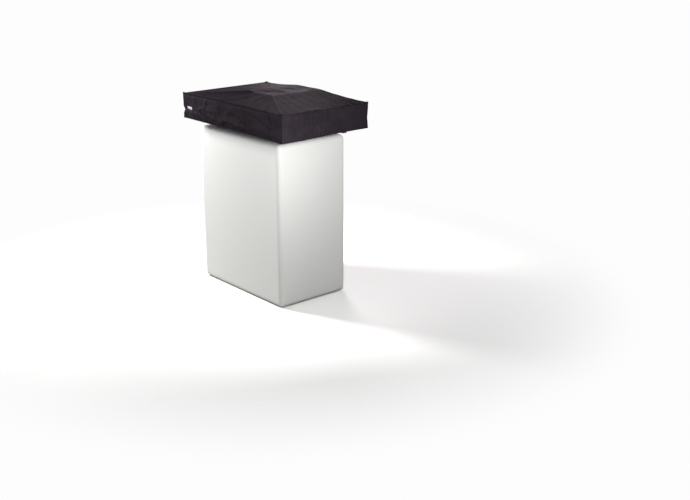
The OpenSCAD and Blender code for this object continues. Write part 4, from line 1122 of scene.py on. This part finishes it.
# Studio: a pale floor, a pale block that carries the rails, soft lights and the camera
studio = dict(floor=-1.655, reach=((-9, -9), (9, 9)), fade=(2.0, 4.2), block=((-0.74, -0.42), (0.62, 0.42)),
              corner=0.05, ambient=0.31, floorTone="#c6c6c4", blockTone="#9c9c9a")
lamps = dict(  # place, target, size, power, colour
    farKey=((-2.6, 2.3, 1.1), (-0.1, 0.4, 0.2), 1.2, 140, (1.0, 0.9, 0.98)),
    rearKey=((-3.08, -1.65, 1.36), (-0.2, -0.4, 0.2), 1.0, 540, (1, 1, 1)),
    farFill=((1.6, 3.2, 0.7), (0.2, 0.4, 0.2), 1.6, 80, (1, 1, 1)),
    frontKey=((2.25, -0.98, 0.22), (0.7, -0.2, 0.2), 0.4, 84, (1, 1, 1)),
)
camera = dict(place=(8.26732, -6.22291, 2.13423), yaw=2.42676862, pitch=-0.31932923, lens=53.91)


def stagePiece(name, box, heights, faces):
    (x0, y0), (x1, y1) = box
    corners = [(x0, y0), (x1, y0), (x1, y1), (x0, y1)]
    return loosePiece(name, [(x, y, z) for z in heights for x, y in corners], faces)


floorPiece = stagePiece("floor", studio["reach"], [studio["floor"]], [(0, 1, 2, 3)])
blockPiece = stagePiece("block", studio["block"], [studio["floor"], 0], loftFaces(2, 4))
bevel = blockPiece.modifiers.new("round", "BEVEL")
bevel.width = studio["corner"]
bevel.segments = 6
for piece in (blockPiece, floorPiece):
    scene.collection.objects.link(piece)
    paint, tree, shader = newMaterial("pale" + piece.name.capitalize(), 0.9)
    shader.inputs["Base Color"].default_value = linear(studio[piece.name + "Tone"])
    piece.data.materials.append(paint)

# the floor, made last, runs out into the backdrop
place = addNode(tree, "ShaderNodeTexCoord").outputs["Object"]
away = addNode(tree, "ShaderNodeVectorMath", {"operation": "LENGTH"}, {0: place})
fade = addNode(tree, "ShaderNodeMapRange", {"interpolation_type": "SMOOTHSTEP"},
               {"Value": away.outputs["Value"], "From Min": studio["fade"][0], "From Max": studio["fade"][1]})
clear = addNode(tree, "ShaderNodeBsdfTransparent")
both = addNode(tree, "ShaderNodeMixShader", None,
               {0: fade.outputs[0], 1: shader.outputs[0], 2: clear.outputs[0]})
tree.links.new(both.outputs[0], tree.nodes["Material Output"].inputs["Surface"])

# soft light all round, and a brighter backdrop behind the object
world = bpy.data.worlds.new("studio")
world.use_nodes = True
tree = world.node_tree
soft = tree.nodes["Background"]
soft.inputs["Color"].default_value = linear("#f4f5f7")
soft.inputs["Strength"].default_value = studio["ambient"]
backdrop = addNode(tree, "ShaderNodeBackground", None, {"Color": linear("#fdfdfd"), "Strength": 1.0})
seen = addNode(tree, "ShaderNodeLightPath")
both = addNode(tree, "ShaderNodeMixShader", None,
               {0: seen.outputs["Is Camera Ray"], 1: soft.outputs[0], 2: backdrop.outputs[0]})
tree.links.new(both.outputs[0], tree.nodes["World Output"].inputs["Surface"])
scene.world = world
scene.view_settings.view_transform = "Standard"


def aim(name, data, place, gaze):
    piece = bpy.data.objects.new(name, data)
    piece.location = place
    piece.rotation_euler = gaze.to_track_quat("-Z", "Y").to_euler()
    scene.collection.objects.link(piece)
    return piece


for name, (place, target, size, power, colour) in lamps.items():
    lamp = bpy.data.lights.new(name, "AREA")
    lamp.shape = "DISK"
    lamp.size = size
    lamp.energy = power
    lamp.color = colour
    aim(name, lamp, place, Vector(target) - Vector(place)).visible_camera = False

cameraData = bpy.data.cameras.new("photoCamera")
cameraData.lens = camera["lens"]
cameraData.sensor_width = 36
cameraData.sensor_fit = "HORIZONTAL"
cameraData.clip_end = 300
gaze = Vector((math.cos(camera["yaw"]) * math.cos(camera["pitch"]),
               math.sin(camera["yaw"]) * math.cos(camera["pitch"]), math.sin(camera["pitch"])))
scene.camera = aim("photoCamera", cameraData, camera["place"], gaze)
print("studio set")
